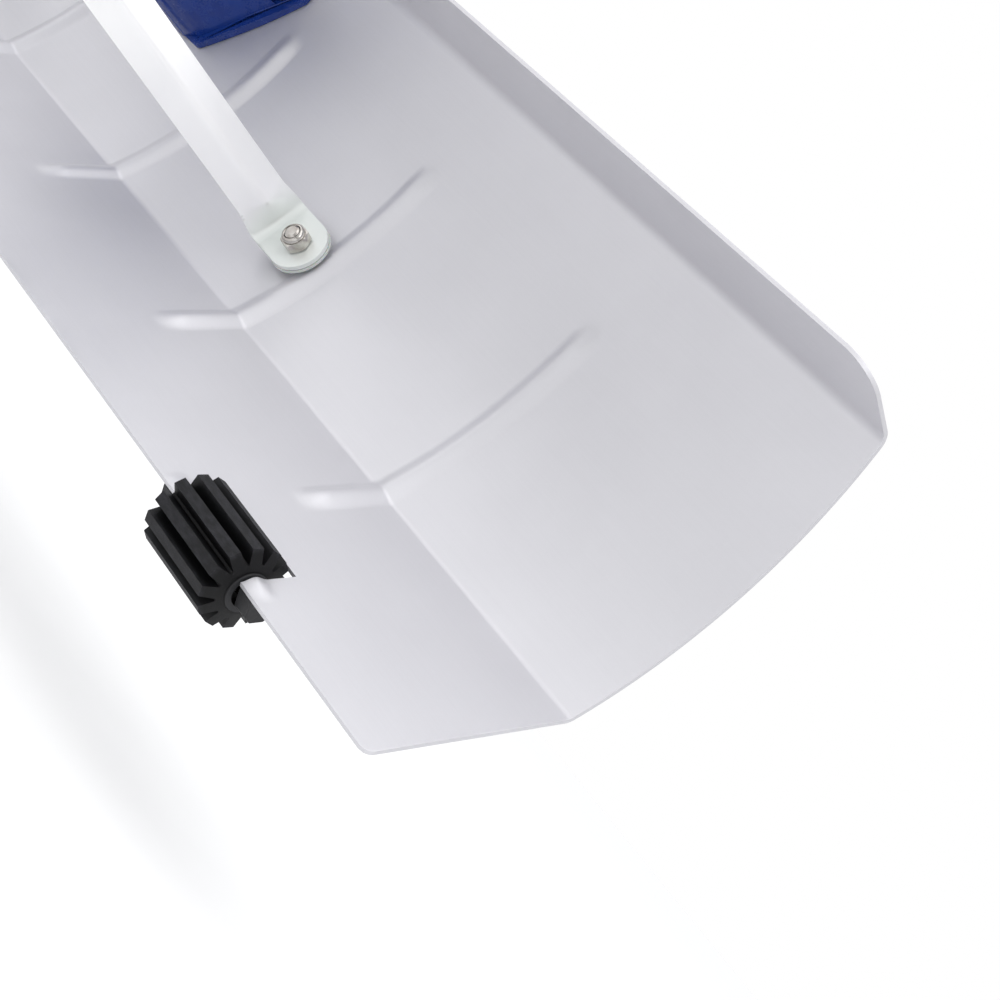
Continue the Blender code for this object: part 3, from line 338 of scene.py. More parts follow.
def lathe(name, profile, matrix=None, steps=64, closed=False):
    """A solid turned about Z from (radius, z) points: a ring if closed, else one that ends on the axis."""
    verts = []
    faces = []
    count = len(profile)
    for i in range(steps):
        turn = 2 * math.pi * i / steps
        verts += [(r * math.cos(turn), r * math.sin(turn), z) for r, z in profile]
    rows = count if closed else count - 1
    for i in range(steps):
        a = i * count
        b = (i + 1) % steps * count
        for j in range(rows):
            k = (j + 1) % count
            faces.append((a + j, b + j, b + k, a + k))
    return mesh_object(name, verts, faces, matrix)


def prism(name, outline, low, high, matrix=None):
    """An outline in XY drawn out along Z."""
    count = len(outline)
    verts = [(x, y, z) for z in (low, high) for x, y in outline]
    faces = [tuple(range(count))[::-1], tuple(range(count, 2 * count))]
    faces += [(i, (i + 1) % count, count + (i + 1) % count, count + i) for i in range(count)]
    return mesh_object(name, verts, faces, matrix)


def both_ends(upper):
    """A profile's upper half and its mirror image below."""
    return upper + [(radius, -z) for radius, z in reversed(upper)]


def block(name, low, high, matrix=None):
    outline = [(low[0], low[1]), (high[0], low[1]), (high[0], high[1]), (low[0], high[1])]
    return prism(name, outline, low[2], high[2], matrix)


def rod(name, radius, low, high, matrix=None, steps=32):
    return lathe(name, [(0, high), (radius, high), (radius, low), (0, low)], matrix, steps)


def bolt_hole(matrix, reach, steps=40):
    return rod("hole", BOLT_RADIUS + BOLT_HOLE_GAP, -reach, reach, matrix, steps)


def arc(centre, radius, start, end, steps):
    angles = [start + (end - start) * i / steps for i in range(steps + 1)]
    return [(centre[0] + radius * math.cos(a), centre[1] + radius * math.sin(a)) for a in angles]


def applied(obj):
    """Bakes the modifiers into the mesh."""
    bpy.context.view_layer.update()
    graph = bpy.context.evaluated_depsgraph_get()
    mesh = bpy.data.meshes.new_from_object(obj.evaluated_get(graph))
    obj.modifiers.clear()
    obj.data = mesh
    return obj


def thickened(obj, thickness, offset):
    solidify = obj.modifiers.new("thickness", "SOLIDIFY")
    solidify.thickness = thickness
    solidify.offset = offset
    solidify.use_even_offset = True
    return applied(obj)


def carve(obj, tool, operation="DIFFERENCE"):
    modifier = obj.modifiers.new("carve", "BOOLEAN")
    modifier.operation = operation
    modifier.object = tool
    modifier.solver = "EXACT"
    applied(obj)
    bpy.data.objects.remove(tool)
    return obj


def softened(obj, width, segments=3, angle=35):
    """Rounds the edges sharper than angle, and shades the result."""
    bevel = obj.modifiers.new("bevel", "BEVEL")
    bevel.width = width
    bevel.segments = segments
    bevel.limit_method = "ANGLE"
    bevel.angle_limit = math.radians(angle)
    bevel.miter_outer = "MITER_ARC"
    bevel.use_clamp_overlap = True
    return shaded(applied(obj))


def shaded(obj):
    for polygon in obj.data.polygons:
        polygon.use_smooth = True
    weights = obj.modifiers.new("normals", "WEIGHTED_NORMAL")
    weights.mode = "FACE_AREA_WITH_ANGLE"
    weights.keep_sharp = True
    return obj


def piece(obj, material, body, slot, *nodes):
    """Gives a piece its material, its CAD body and the nodes that it stands for; slot is not used."""
    obj.data.materials.clear()
    obj.data.materials.append(material)
    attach(obj, body)
    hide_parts(*nodes)


# ---------------------------------------------------------------- material helpers


class Surface:
    """A Principled material and the nodes that vary it, in metres of the object's own coordinates."""

    def __init__(self, name, color, roughness, **values):
        self.material = bpy.data.materials.new(name)
        self.material.use_nodes = True
        self.tree = self.material.node_tree
        self.shader = self.tree.nodes["Principled BSDF"]
        self.shader.inputs["Base Color"].default_value = (*color, 1)
        self.shader.inputs["Roughness"].default_value = roughness
        for key, value in values.items():
            self.shader.inputs[key.replace("_", " ")].default_value = value
        self.coords = self.add("ShaderNodeTexCoord").outputs["Object"]
        self.normal = None

    def add(self, kind, **values):
        node = self.tree.nodes.new(kind)
        for key, value in values.items():
            setattr(node, key, value)
        return node

    def link(self, start, end):
        self.tree.links.new(start, end)

    def noise(self, size, detail=3.0, stretch=(1, 1, 1), offset=0.0, rough=0.55):
        """Noise whose grain is about size across, drawn out by stretch along each axis."""
        mapping = self.add("ShaderNodeMapping")
        mapping.inputs["Scale"].default_value = [1 / (size * k) for k in stretch]
        mapping.inputs["Location"].default_value = (offset, offset * 1.7, -offset)
        self.link(self.coords, mapping.inputs["Vector"])
        node = self.add("ShaderNodeTexNoise")
        node.inputs["Scale"].default_value = 1
        node.inputs["Detail"].default_value = detail
        node.inputs["Roughness"].default_value = rough
        self.link(mapping.outputs["Vector"], node.inputs["Vector"])
        return node.outputs["Fac"]

    def ranged(self, value, low, high, to_low, to_high):
        node = self.add("ShaderNodeMapRange")
        for key, number in zip(("From Min", "From Max", "To Min", "To Max"), (low, high, to_low, to_high)):
            node.inputs[key].default_value = number
        self.link(value, node.inputs["Value"])
        return node.outputs["Result"]

    def spread(self, noise, low, high):
        """The usual range of a noise, drawn out to run from low to high."""
        return self.ranged(noise, 0.3, 0.7, low, high)

    def math(self, operation, a, b):
        node = self.add("ShaderNodeMath", operation=operation)
        for socket, value in zip(node.inputs, (a, b)):
            if isinstance(value, (int, float)):
                socket.default_value = value
            else:
                self.link(value, socket)
        return node.outputs["Value"]

    def axis(self, name):
        node = self.add("ShaderNodeSeparateXYZ")
        self.link(self.coords, node.inputs["Vector"])
        return node.outputs[name]

    def mixed(self, factor, a, b):
        node = self.add("ShaderNodeMix", data_type="RGBA")
        self.link(factor, node.inputs["Factor"])
        for socket, value in zip((node.inputs[6], node.inputs[7]), (a, b)):
            if isinstance(value, tuple):
                socket.default_value = (*value, 1)
            else:
                self.link(value, socket)
        return node.outputs[2]

    def color(self, value):
        self.link(value, self.shader.inputs["Base Color"])

    def roughness(self, *values):
        """Takes the sum of its values, one or two."""
        value = self.math("ADD", *values) if len(values) == 2 else values[0]
        self.link(value, self.shader.inputs["Roughness"])

    def bump(self, height, distance, strength=1.0):
        node = self.add("ShaderNodeBump")
        node.inputs["Distance"].default_value = distance
        node.inputs["Strength"].default_value = strength
        self.link(height, node.inputs["Height"])
        if self.normal is not None:
            self.link(self.normal, node.inputs["Normal"])
        self.normal = node.outputs["Normal"]
        self.link(self.normal, self.shader.inputs["Normal"])


def satin_sheet():
    """Rolled sheet, finely blasted and anodised, with faint rolling lines along X and a rubbed lip."""
    s = Surface("satin_aluminium", (0.66, 0.655, 0.69), 0.50, Metallic=0.7)
    cloud = s.noise(0.045, 3)
    roll = s.noise(0.0006, 2, (180, 1, 1))
    grain = s.noise(0.00035, 2)
    s.color(s.mixed(s.spread(cloud, 0, 1), (0.645, 0.640, 0.668), (0.670, 0.665, 0.693)))
    height = s.axis("Z")
    patches = s.ranged(s.noise(0.004, 4, (3, 1, 1)), 0.45, 0.7, 0, 1)
    rub = s.math("MULTIPLY", s.ranged(height, 0.0, 0.012, 1, 0), patches)
    base = s.math("ADD", s.spread(roll, 0.47, 0.53), s.spread(grain, -0.02, 0.03))
    s.roughness(s.math("SUBTRACT", base, s.math("MULTIPLY", rub, 0.10)))
    s.bump(cloud, 0.0003, 0.30)
    s.bump(roll, 0.00001, 0.30)
    s.bump(grain, 0.000018, 0.35)
    return s.material


def bright_strip():
    """Bright rolled strip with fine lines along it; the tab at the blade end is painted a greyer green, a
    painted reflection.
    """
    s = Surface("bright_aluminium", (0.95, 0.95, 0.96), 0.36, Metallic=0.45)
    lines = s.noise(0.0004, 3, (120, 1, 1))
    cloud = s.noise(0.02, 2, offset=3.1)
    body = s.mixed(s.spread(cloud, 0, 1), (0.94, 0.94, 0.95), (0.97, 0.97, 0.975))
    # Painted reflection: the tab at the blade end is painted a greyer green.
    painted_tab_reflection = s.ranged(s.axis("X"), -BRACE_REACH / 2 + 0.016, -BRACE_REACH / 2 + 0.004, 0, 1)
    s.color(s.mixed(painted_tab_reflection, body, (0.75, 0.78, 0.76)))
    s.roughness(s.spread(lines, 0.33, 0.40), s.spread(cloud, -0.02, 0.03))
    s.bump(cloud, 0.0002, 0.25)
    s.bump(lines, 0.000006, 0.35)
    return s.material


def drawn_tube():
    """Drawn and anodised tube with fine lines along Z and faint rub marks round it."""
    s = Surface("tube_aluminium", (0.72, 0.725, 0.74), 0.33, Metallic=1.0)
    lines = s.noise(0.0005, 3, (1, 1, 260))
    rings = s.noise(0.0016, 3, (30, 30, 1), offset=5.0)
    cloud = s.noise(0.03, 3, (1, 1, 3), offset=1.3)
    s.color(s.mixed(s.spread(cloud, 0, 1), (0.58, 0.585, 0.605), (0.63, 0.635, 0.65)))
    s.roughness(s.spread(lines, 0.29, 0.36), s.ranged(rings, 0.62, 0.75, 0, 0.08))
    s.bump(lines, 0.000012, 0.4)
    return s.material


def stainless():
    """Warm stainless steel with turning marks and small dull patches."""
    s = Surface("stainless_steel", (0.60, 0.57, 0.54), 0.24, Metallic=1.0)
    fine = s.noise(0.00025, 3)
    patch = s.noise(0.0022, 3, offset=2.2)
    turned = s.noise(0.00018, 2, (14, 14, 1), offset=7.0)
    s.color(s.mixed(s.ranged(patch, 0.35, 0.65, 0, 1), (0.40, 0.37, 0.34), (0.56, 0.54, 0.51)))
    s.roughness(s.spread(patch, 0.14, 0.24), s.spread(fine, -0.03, 0.05))
    s.bump(turned, 0.00002, 0.5)
    s.bump(fine, 0.000012, 0.4)
    return s.material


def roller_rubber():
    """Moulded black rubber, its ribs' tips painted lighter: a painted highlight, partly broken up by scuff
    wear. The flat ring on each end is painted lighter too, a painted highlight.
    """
    s = Surface("roller_rubber", (0.008, 0.008, 0.010), 0.55, Specular_IOR_Level=0.24)
    x = s.axis("X")
    y = s.axis("Y")
    radius = s.math("SQRT", s.math("ADD", s.math("MULTIPLY", x, x), s.math("MULTIPLY", y, y)), 0)
    # Painted highlight: the ribs' tips are painted lighter, broken up by this scuff noise, which also bumps
    # them as wear.
    scuff_and_highlight_noise = s.noise(0.0012, 4, (1, 1, 3))
    tip = s.math("MULTIPLY", s.ranged(radius, 0.0114, 0.0126, 0, 1), s.ranged(scuff_and_highlight_noise, 0.40, 0.66, 0.25, 1))
    end = ROLLER_LENGTH / 2
    # Painted highlight: the flat ring on each roller end is painted a lighter colour than the rest of the
    # rubber.
    in_ring = s.ranged(radius, ROLLER_RING_RADIUS, ROLLER_RING_RADIUS - 0.0002, 0, 1)
    at_end = s.ranged(s.math("ABSOLUTE", s.axis("Z"), 0), end - 0.0008, end - 0.0002, 0, 1)
    painted_ring_highlight = s.math("MULTIPLY", in_ring, at_end)
    # Painted highlight: the rib tips get the lighter rubber colour, the sides and grooves the darker one.
    body = s.mixed(tip, (0.0022, 0.0022, 0.0028), (0.020, 0.020, 0.024))
    s.color(s.mixed(painted_ring_highlight, body, (0.032, 0.032, 0.035)))
    grain = s.noise(0.0003, 2, offset=4.0)
    s.roughness(s.spread(grain, 0.46, 0.60), s.math("MULTIPLY", tip, 0.06))
    s.bump(scuff_and_highlight_noise, 0.00010, 0.25)
    s.bump(grain, 0.00004, 0.35)
    return s.material


def black_nylon():
    """Black glass-filled moulding with a spark-eroded texture and faint flow marks."""
    s = Surface("black_plastic", (0.014, 0.014, 0.016), 0.45, Specular_IOR_Level=0.4)
    flow = s.noise(0.010, 3, (1, 1, 2), offset=2.7)
    spark = s.noise(0.00045, 3, offset=8.0)
    s.color(s.mixed(s.spread(flow, 0, 1), (0.011, 0.011, 0.013), (0.019, 0.019, 0.021)))
    s.roughness(s.spread(spark, 0.40, 0.54), s.spread(flow, -0.04, 0.04))
    s.bump(spark, 0.00006, 0.45)
    return s.material


def grip_foam():
    """A soft matt sleeve with a fine pebble."""
    s = Surface("grip_rubber", (0.016, 0.016, 0.018), 0.78, Specular_IOR_Level=0.25)
    cells = s.add("ShaderNodeTexVoronoi", feature="F1")
    cells.inputs["Scale"].default_value = 900
    s.link(s.coords, cells.inputs["Vector"])
    wear = s.noise(0.018, 3, offset=1.0)
    s.color(s.mixed(s.ranged(wear, 0.35, 0.7, 0, 1), (0.012, 0.012, 0.013), (0.024, 0.024, 0.026)))
    s.roughness(s.spread(wear, 0.84, 0.68))
    s.bump(cells.outputs["Distance"], 0.00018, 0.5)
    s.bump(wear, 0.0004, 0.2)
    return s.material


def blue_moulding():
    """Deep blue moulded plastic with a light gloss and slight sinks over its thick places."""
    s = Surface("blue_plastic", (0.008, 0.036, 0.24), 0.28, Specular_IOR_Level=0.35)
    sink = s.noise(0.012, 2, offset=6.0)
    fine = s.noise(0.0007, 3, offset=9.0)
    s.color(s.mixed(s.spread(sink, 0, 1), (0.005, 0.026, 0.18), (0.008, 0.036, 0.22)))
    s.roughness(s.spread(fine, 0.25, 0.28), s.spread(sink, -0.03, 0.03))
    s.bump(sink, 0.0002, 0.2)
    s.bump(fine, 0.00001, 0.15)
    return s.material


def milky_nylon():
    """Natural nylon: glossy, faintly green and a little see-through."""
    s = Surface(
        "clear_nylon", (0.86, 0.89, 0.86), 0.16, IOR=1.5, Transmission_Weight=0.45, Subsurface_Weight=0.2,
        Subsurface_Scale=0.002,
    )
    haze = s.noise(0.004, 3)
    s.color(s.mixed(s.spread(haze, 0, 1), (0.83, 0.87, 0.84), (0.91, 0.93, 0.91)))
    s.roughness(s.spread(haze, 0.12, 0.22))
    s.bump(haze, 0.00015, 0.3)
    return s.material


SATIN = satin_sheet()
BRIGHT = bright_strip()
TUBE = drawn_tube()
STEEL = stainless()
RUBBER = roller_rubber()
BLACK = black_nylon()
FOAM = grip_foam()
BLUE = blue_moulding()
NYLON = milky_nylon()

# ---------------------------------------------------------------- the blade


def bump_shape(distance, half_width):
    """1 in the middle, falling smoothly to 0 at half_width."""
    inside = np.abs(distance) < half_width
    return np.where(inside, np.cos(math.pi / 2 * distance / half_width) ** 2, 0.0)


def smooth_step(t):
    t = np.clip(t, 0, 1)
    return t * t * (3 - 2 * t)


def pressed(x, s):
    """How far the sheet is pressed out at x and s, by its ribs and by the arches over the axles."""
    across = np.max([bump_shape(x - rib, RIB_HALF_WIDTH) for rib in RIBS_X], axis=0)
    ends = np.minimum(s - RIB_LOW, RIB_HIGH - s) / RIB_FADE
    beside = np.abs(np.abs(x) - ROLLER_X)
    fade = smooth_step((ARCH_END - beside) / (ARCH_END - NOTCH_HALF))
    arch = bump_shape(s - AXLE_UP_LIP, ARCH_HALF_WIDTH) * fade
    return RIB_CREST * across * smooth_step(ends) + ARCH_HEIGHT * arch


def spaced(start, end, step):
    count = max(1, math.ceil((end - start) / step))
    return [start + (end - start) * i / count for i in range(count + 1)]


def merged(stations, least=0.00008):
    kept = []
    for value in sorted(stations):
        if not kept or value - kept[-1] > least:
            kept.append(value)
    return kept


def blade_stations():
    half = BLADE_LENGTH / 2
    xs = spaced(-half, half, 0.012)
    for rib in RIBS_X:
        xs += spaced(rib - RIB_HALF_WIDTH, rib + RIB_HALF_WIDTH, 0.0005)
    for _, side in SIDES:
        for start, end in ((NOTCH_HALF, ARCH_END), (-ARCH_END, -NOTCH_HALF)):
            xs += spaced(side * ROLLER_X + start, side * ROLLER_X + end, 0.0008)
        xs += [side * (half - d) for d in (0.0005, 0.0015, 0.003, 0.006, 0.010, 0.015)]
    ss = spaced(0, 0.009, 0.0005) + spaced(0.009, LIP, 0.0016)
    ss += spaced(RIB_LOW, RIB_LOW + RIB_FADE, 0.0008) + spaced(RIB_HIGH - RIB_FADE, RIB_HIGH, 0.0008)
    ss += spaced(LIP, section_start("panel"), 0.00025)
    ss += spaced(section_start("panel"), section_start("bend"), 0.0022)
    ss += spaced(section_start("bend"), section_start("flange"), 0.0004)
    top = section_start("flange") + FLANGE
    ss += spaced(section_start("flange"), top - FLANGE_CORNER_RADIUS, 0.003)
    ss += [top - FLANGE_CORNER_RADIUS * (1 - math.sin(math.radians(a))) for a in range(0, 91, 6)]
    exact = [side * (ROLLER_X + d) for side in (-1, 1) for d in (-NOTCH_HALF, NOTCH_HALF)]
    xs = merged([x for x in xs if min(abs(x - e) for e in exact) > 0.0001] + exact)
    ss = merged([s for s in ss if abs(s - NOTCH_DEPTH) > 0.0001] + [NOTCH_DEPTH])
    return xs, ss, top


def end_inset(s, top):
    """How far the blade's end is drawn in at s, round its corners."""
    for radius, from_edge in ((FLANGE_CORNER_RADIUS, top - s), (LIP_CORNER_RADIUS, s)):
        if from_edge < radius:
            return radius - math.sqrt(max(0.0, radius**2 - (radius - from_edge) ** 2))
    return 0.0


def make_blade():
    xs, ss, top = blade_stations()
    half = BLADE_LENGTH / 2
    reach = 0.015
    verts = []
    for s in ss:
        y, z, lean = on_section(s)
        inset = end_inset(s, top)
        row = np.array(xs)
        beyond = np.maximum(0, np.abs(row) - (half - reach))
        row = row - np.sign(row) * beyond * inset / reach
        lift = pressed(row, s)
        points = np.column_stack([row, y - lift * math.cos(lean), z + lift * math.sin(lean)])
        verts += points.tolist()
    count = len(xs)
    faces = []
    for j in range(len(ss) - 1):
        in_notch_rows = ss[j + 1] <= NOTCH_DEPTH + 1e-9
        for i in range(count - 1):
            middle = abs((xs[i] + xs[i + 1]) / 2)
            if in_notch_rows and abs(middle - ROLLER_X) < NOTCH_HALF:
                continue
            a = j * count + i
            faces.append((a, a + 1, a + count + 1, a + count))
    mesh = bpy.data.meshes.new("blade_sheet")
    mesh.from_pydata(verts, [], faces)
    bm = bmesh.new()
    bm.from_mesh(mesh)
    bmesh.ops.delete(bm, geom=[v for v in bm.verts if not v.link_faces], context="VERTS")
    bm.faces.ensure_lookup_table()
    if bm.faces[0].normal.y > 0:
        bmesh.ops.reverse_faces(bm, faces=bm.faces)
    bm.to_mesh(mesh)
    bm.free()
    sheet = thickened(added("blade_sheet", mesh, HEAD), SHEET, -1)
    softened(sheet, 0.00022, 2, 60)
    piece(sheet, SATIN, "head", "satin_aluminium", "blade")


# ---------------------------------------------------------------- rollers


def roller_outline():
    points = []
    for k in range(ROLLER_RIBS):
        middle = RIB_STEP * (k + 0.5) + ROLLER_PHASE
        along = Vector((math.cos(middle), math.sin(middle)))
        across = Vector((-along.y, along.x))
        foot = along * ROLLER_CORE_RADIUS
        tip = along * ROLLER_TIP_RADIUS
        points += [
            foot - across * ROLLER_RIB_FOOT / 2,
            tip - across * ROLLER_RIB_TIP / 2,
            tip + across * ROLLER_RIB_TIP / 2,
            foot + across * ROLLER_RIB_FOOT / 2,
        ]
    return [(point.x, point.y) for point in points]


def make_roller(name, side):
    half = ROLLER_LENGTH / 2
    at = on_axle(side * ROLLER_X)
    roller = prism(f"roller_{name}_tread", roller_outline(), -half, half, at)
    slope = (ROLLER_RADIUS - ROLLER_HUB_RADIUS) / ROLLER_CHAMFER
    over = 0.001
    half_profile = [
        (0, half),
        (ROLLER_RING_RADIUS - 0.0002, half),
        (ROLLER_RING_RADIUS, half - ROLLER_RING_STEP),
        (ROLLER_HUB_RADIUS, half - ROLLER_RING_STEP),
        (ROLLER_RADIUS + over * slope, half - ROLLER_CHAMFER - over),
    ]
    carve(roller, lathe("envelope", both_ends(half_profile), at, 96), "INTERSECT")
    recess = [
        (0, half + over),
        (ROLLER_HUB_RECESS, half + over),
        (ROLLER_HUB_RECESS - 0.0003, half - 0.0032),
        (AXLE_RADIUS + RUNNING_GAP, half - 0.0034),
        (AXLE_RADIUS + RUNNING_GAP, 0),
    ]
    bore = recess + [(r, -z) for r, z in reversed(recess[:-1])]
    carve(roller, lathe("bore", bore, at, 64))
    softened(roller, 0.0003, 2, 25)
    piece(roller, RUBBER, f"roller_{name}", "roller_rubber", f"roller_{name}")


def make_axle(name, side):
    half = NOTCH_HALF + HOLDER_LENGTH - HOLDER_WALL - GAP
    at = on_axle(side * ROLLER_X)
    round_end = [(0, half), (AXLE_RADIUS - 0.0004, half), (AXLE_RADIUS, half - 0.0004)]
    groove = [(AXLE_RADIUS, 0.0006), (AXLE_RADIUS - 0.0002, 0.0003)]
    upper = round_end + groove
    axle = lathe(f"roller_axle_{name}_pin", both_ends(upper), at, 40)
    softened(axle, 0.00008, 1, 30)
    piece(axle, STEEL, "head", "stainless_steel", f"roller_axle_{name}")


def make_holder(name, roller_side, end_side):
    """The moulded block under the sheet that takes the axle's end, with a rib on its underside."""
    low = -AXLE_SINK - AXLE_RADIUS - HOLDER_WALL
    top = -SHEET - GAP
    half = HOLDER_HALF_WIDTH
    crest = ARCH_HEIGHT - 0.0004
    ridge = []
    for k in range(13):
        y = half * 0.62 * (1 - k / 6)
        ridge.append((y, top + crest * float(bump_shape(np.array(y), ARCH_HALF_WIDTH - 0.0012))))
    corner = 0.0018
    outline = [(half, top), *ridge, (-half, top)]
    outline += [(-half, low + corner), (corner - half, low), (half - corner, low), (half, low + corner)]
    start = roller_side * ROLLER_X + end_side * NOTCH_HALF
    turn = Matrix(((0, 0, end_side, 0), (1, 0, 0, 0), (0, 1, 0, 0), (0, 0, 0, 1)))
    at = HEAD @ blade_place(start, AXLE_UP_LIP) @ turn
    holder = prism(f"{name}_block", outline, 0, HOLDER_LENGTH, at)
    depth = HOLDER_LENGTH - HOLDER_WALL
    carve(holder, rod("bore", AXLE_RADIUS + RUNNING_GAP, -depth, depth, on_axle(start)))
    softened(holder, 0.0004, 3, 40)
    piece(holder, BLACK, "head", "black_plastic", name)


# ---------------------------------------------------------------- fasteners


def make_bolt(node, at, grip):
    """A button-head screw with a hexagon socket, its thread on the part that passes the nut."""
    top = grip + NUT_HEIGHT + BOLT_PAST_NUT
    r = BOLT_HEAD_RADIUS
    root = BOLT_RADIUS - THREAD_DEPTH
    profile = [(0, top - 0.00015), (BOLT_RADIUS - 0.0007, top), (root, top - 0.0003)]
    z = top - 0.0004
    low = max(0.001, top - 0.012)
    while z - THREAD_PITCH > low:
        profile += [(BOLT_RADIUS - 0.00005, z), (BOLT_RADIUS - 0.00005, z - THREAD_PITCH * 0.15)]
        profile += [(root, z - THREAD_PITCH * 0.5), (root, z - THREAD_PITCH * 0.62)]
        z -= THREAD_PITCH
    profile += [(BOLT_RADIUS - 0.00005, z), (BOLT_RADIUS - 0.00005, 0.0001), (r - 0.0002, 0), (r, -0.0002)]
    dome = arc((0, 0), 1, 0, math.pi / 2, 9)
    profile += [(r * (0.30 + 0.70 * c), -BOLT_HEAD_HEIGHT * (0.30 + 0.70 * d)) for c, d in dome]
    profile += [(0, -BOLT_HEAD_HEIGHT)]
    bolt = lathe(f"{node}_screw", profile, at, 48)
    hexagon = arc((0, 0), BOLT_SOCKET_RADIUS, 0, 2 * math.pi * 5 / 6, 5)
    socket = prism("socket", hexagon, -BOLT_HEAD_HEIGHT - 0.001, BOLT_SOCKET_DEPTH - BOLT_HEAD_HEIGHT, at)
    carve(bolt, socket)
    softened(bolt, 0.00012, 2, 40)
    piece(bolt, STEEL, "head", "stainless_steel", node)


def make_nut(node, at):
    """A lock nut: a chamfered hexagon under a turned collar that closes in over the screw's end."""
    corner = NUT_FLATS / math.sqrt(3)
    flat = NUT_FLATS / 2
    turns = [math.pi / 3 * k for k in range(6)]
    nut = prism(f"{node}_hex", [(corner * math.cos(a), corner * math.sin(a)) for a in turns], 0, NUT_HEX, at)
    envelope = [
        (0, NUT_HEX + 0.0002),
        (flat * 0.93, NUT_HEX + 0.0002),
        (corner + 0.0002, NUT_HEX - 0.0006),
        (corner + 0.0002, 0.0005),
        (flat * 0.97, -0.0001),
        (0, -0.0001),
    ]
    carve(nut, lathe("envelope", envelope, at, 72), "INTERSECT")
    c = NUT_COLLAR_RADIUS
    round_over = arc((c - NUT_ROUND, NUT_HEIGHT - NUT_ROUND), NUT_ROUND, math.pi / 2 - 0.1, 0, 7)
    collar = [
        (BOLT_RADIUS + 0.0006, NUT_HEIGHT - 0.0001),
        *round_over,
        (c, NUT_HEX + 0.0004),
        (c - 0.0002, NUT_HEX + 0.0001),
        (c - 0.0002, NUT_HEX / 2),
        (0, NUT_HEX / 2),
        (0, NUT_HEIGHT - 0.0006),
        (BOLT_RADIUS + 0.0004, NUT_HEIGHT - 0.0006),
    ]
    ring = lathe("collar", collar, at, 72, closed=True)
    carve(nut, ring, "UNION")
    carve(nut, rod("bore", BOLT_RADIUS + RUNNING_GAP, -0.001, NUT_HEIGHT + 0.001, at, 48))
    softened(nut, 0.00015, 2, 28)
    piece(nut, STEEL, "head", "stainless_steel", node)


def make_washer(node, at):
    inner = BOLT_RADIUS + BOLT_HOLE_GAP
    profile = [(WASHER_RADIUS, WASHER), (WASHER_RADIUS, 0), (inner, 0), (inner, WASHER)]
    washer = lathe(f"{node}_ring", profile, at, 56, closed=True)
    softened(washer, 0.00018, 2, 40)
    piece(washer, STEEL, "head", "stainless_steel", node)


# ---------------------------------------------------------------- the bracket


def foot_outline(inset=0.0):
    """Half of the foot's outline, from its lowest to its highest point, inset all round."""
    slant = math.atan2(FOOT_SHOULDER - FOOT_BOTTOM, FOOT_HALF_TOP - FOOT_HALF_BOTTOM)
    shift = inset / math.sin(slant)
    low_x = FOOT_HALF_BOTTOM - shift + inset / math.tan(slant)
    high_x = FOOT_HALF_TOP - inset
    turn_y = FOOT_SHOULDER - (FOOT_HALF_TOP - high_x) * math.tan(slant) + shift * math.tan(slant)
    return [(low_x, FOOT_BOTTOM + inset), (high_x, turn_y), (high_x, FOOT_TOP - inset)]


def mirrored(half):
    return half + [(-x, y) for x, y in reversed(half)]


def rounded_outline(points, radius, steps=5):
    """The outline with each corner drawn as a bend of this radius."""
    out = []
    count = len(points)
    for i, (x, y) in enumerate(points):
        here = Vector((x, y))
        back = (Vector(points[i - 1]) - here).normalized()
        ahead = (Vector(points[(i + 1) % count]) - here).normalized()
        half_turn = back.angle(ahead) / 2
        reach = radius / math.tan(half_turn)
        centre = here + (back + ahead).normalized() * radius / math.sin(half_turn)
        a = here + back * reach - centre
        b = here + ahead * reach - centre
        start = math.atan2(a.y, a.x)
        sweep = (math.atan2(b.y, b.x) - start + math.pi) % (2 * math.pi) - math.pi
        out += arc(centre, radius, start, start + sweep, steps)
    return out


def panel_envelope(half):
    y, z, lean = on_section(section_start("panel"))
    centre = (0, y - PANEL_RADIUS * math.cos(lean), z + PANEL_RADIUS * math.sin(lean))
    return rod("envelope", PANEL_RADIUS - GAP, -half, half, HEAD @ Matrix.Translation(centre) @ ALONG_X, 360)


def hull(name, points, matrix):
    bm = bmesh.new()
    for point in points:
        bm.verts.new(point)
    result = bmesh.ops.convex_hull(bm, input=bm.verts)
    loose = [item for item in result["geom_interior"] if isinstance(item, bmesh.types.BMVert)]
    bmesh.ops.delete(bm, geom=loose, context="VERTS")
    bmesh.ops.dissolve_limit(bm, angle_limit=0.002, verts=bm.verts, edges=bm.edges)
    return finished(bm, name, matrix)


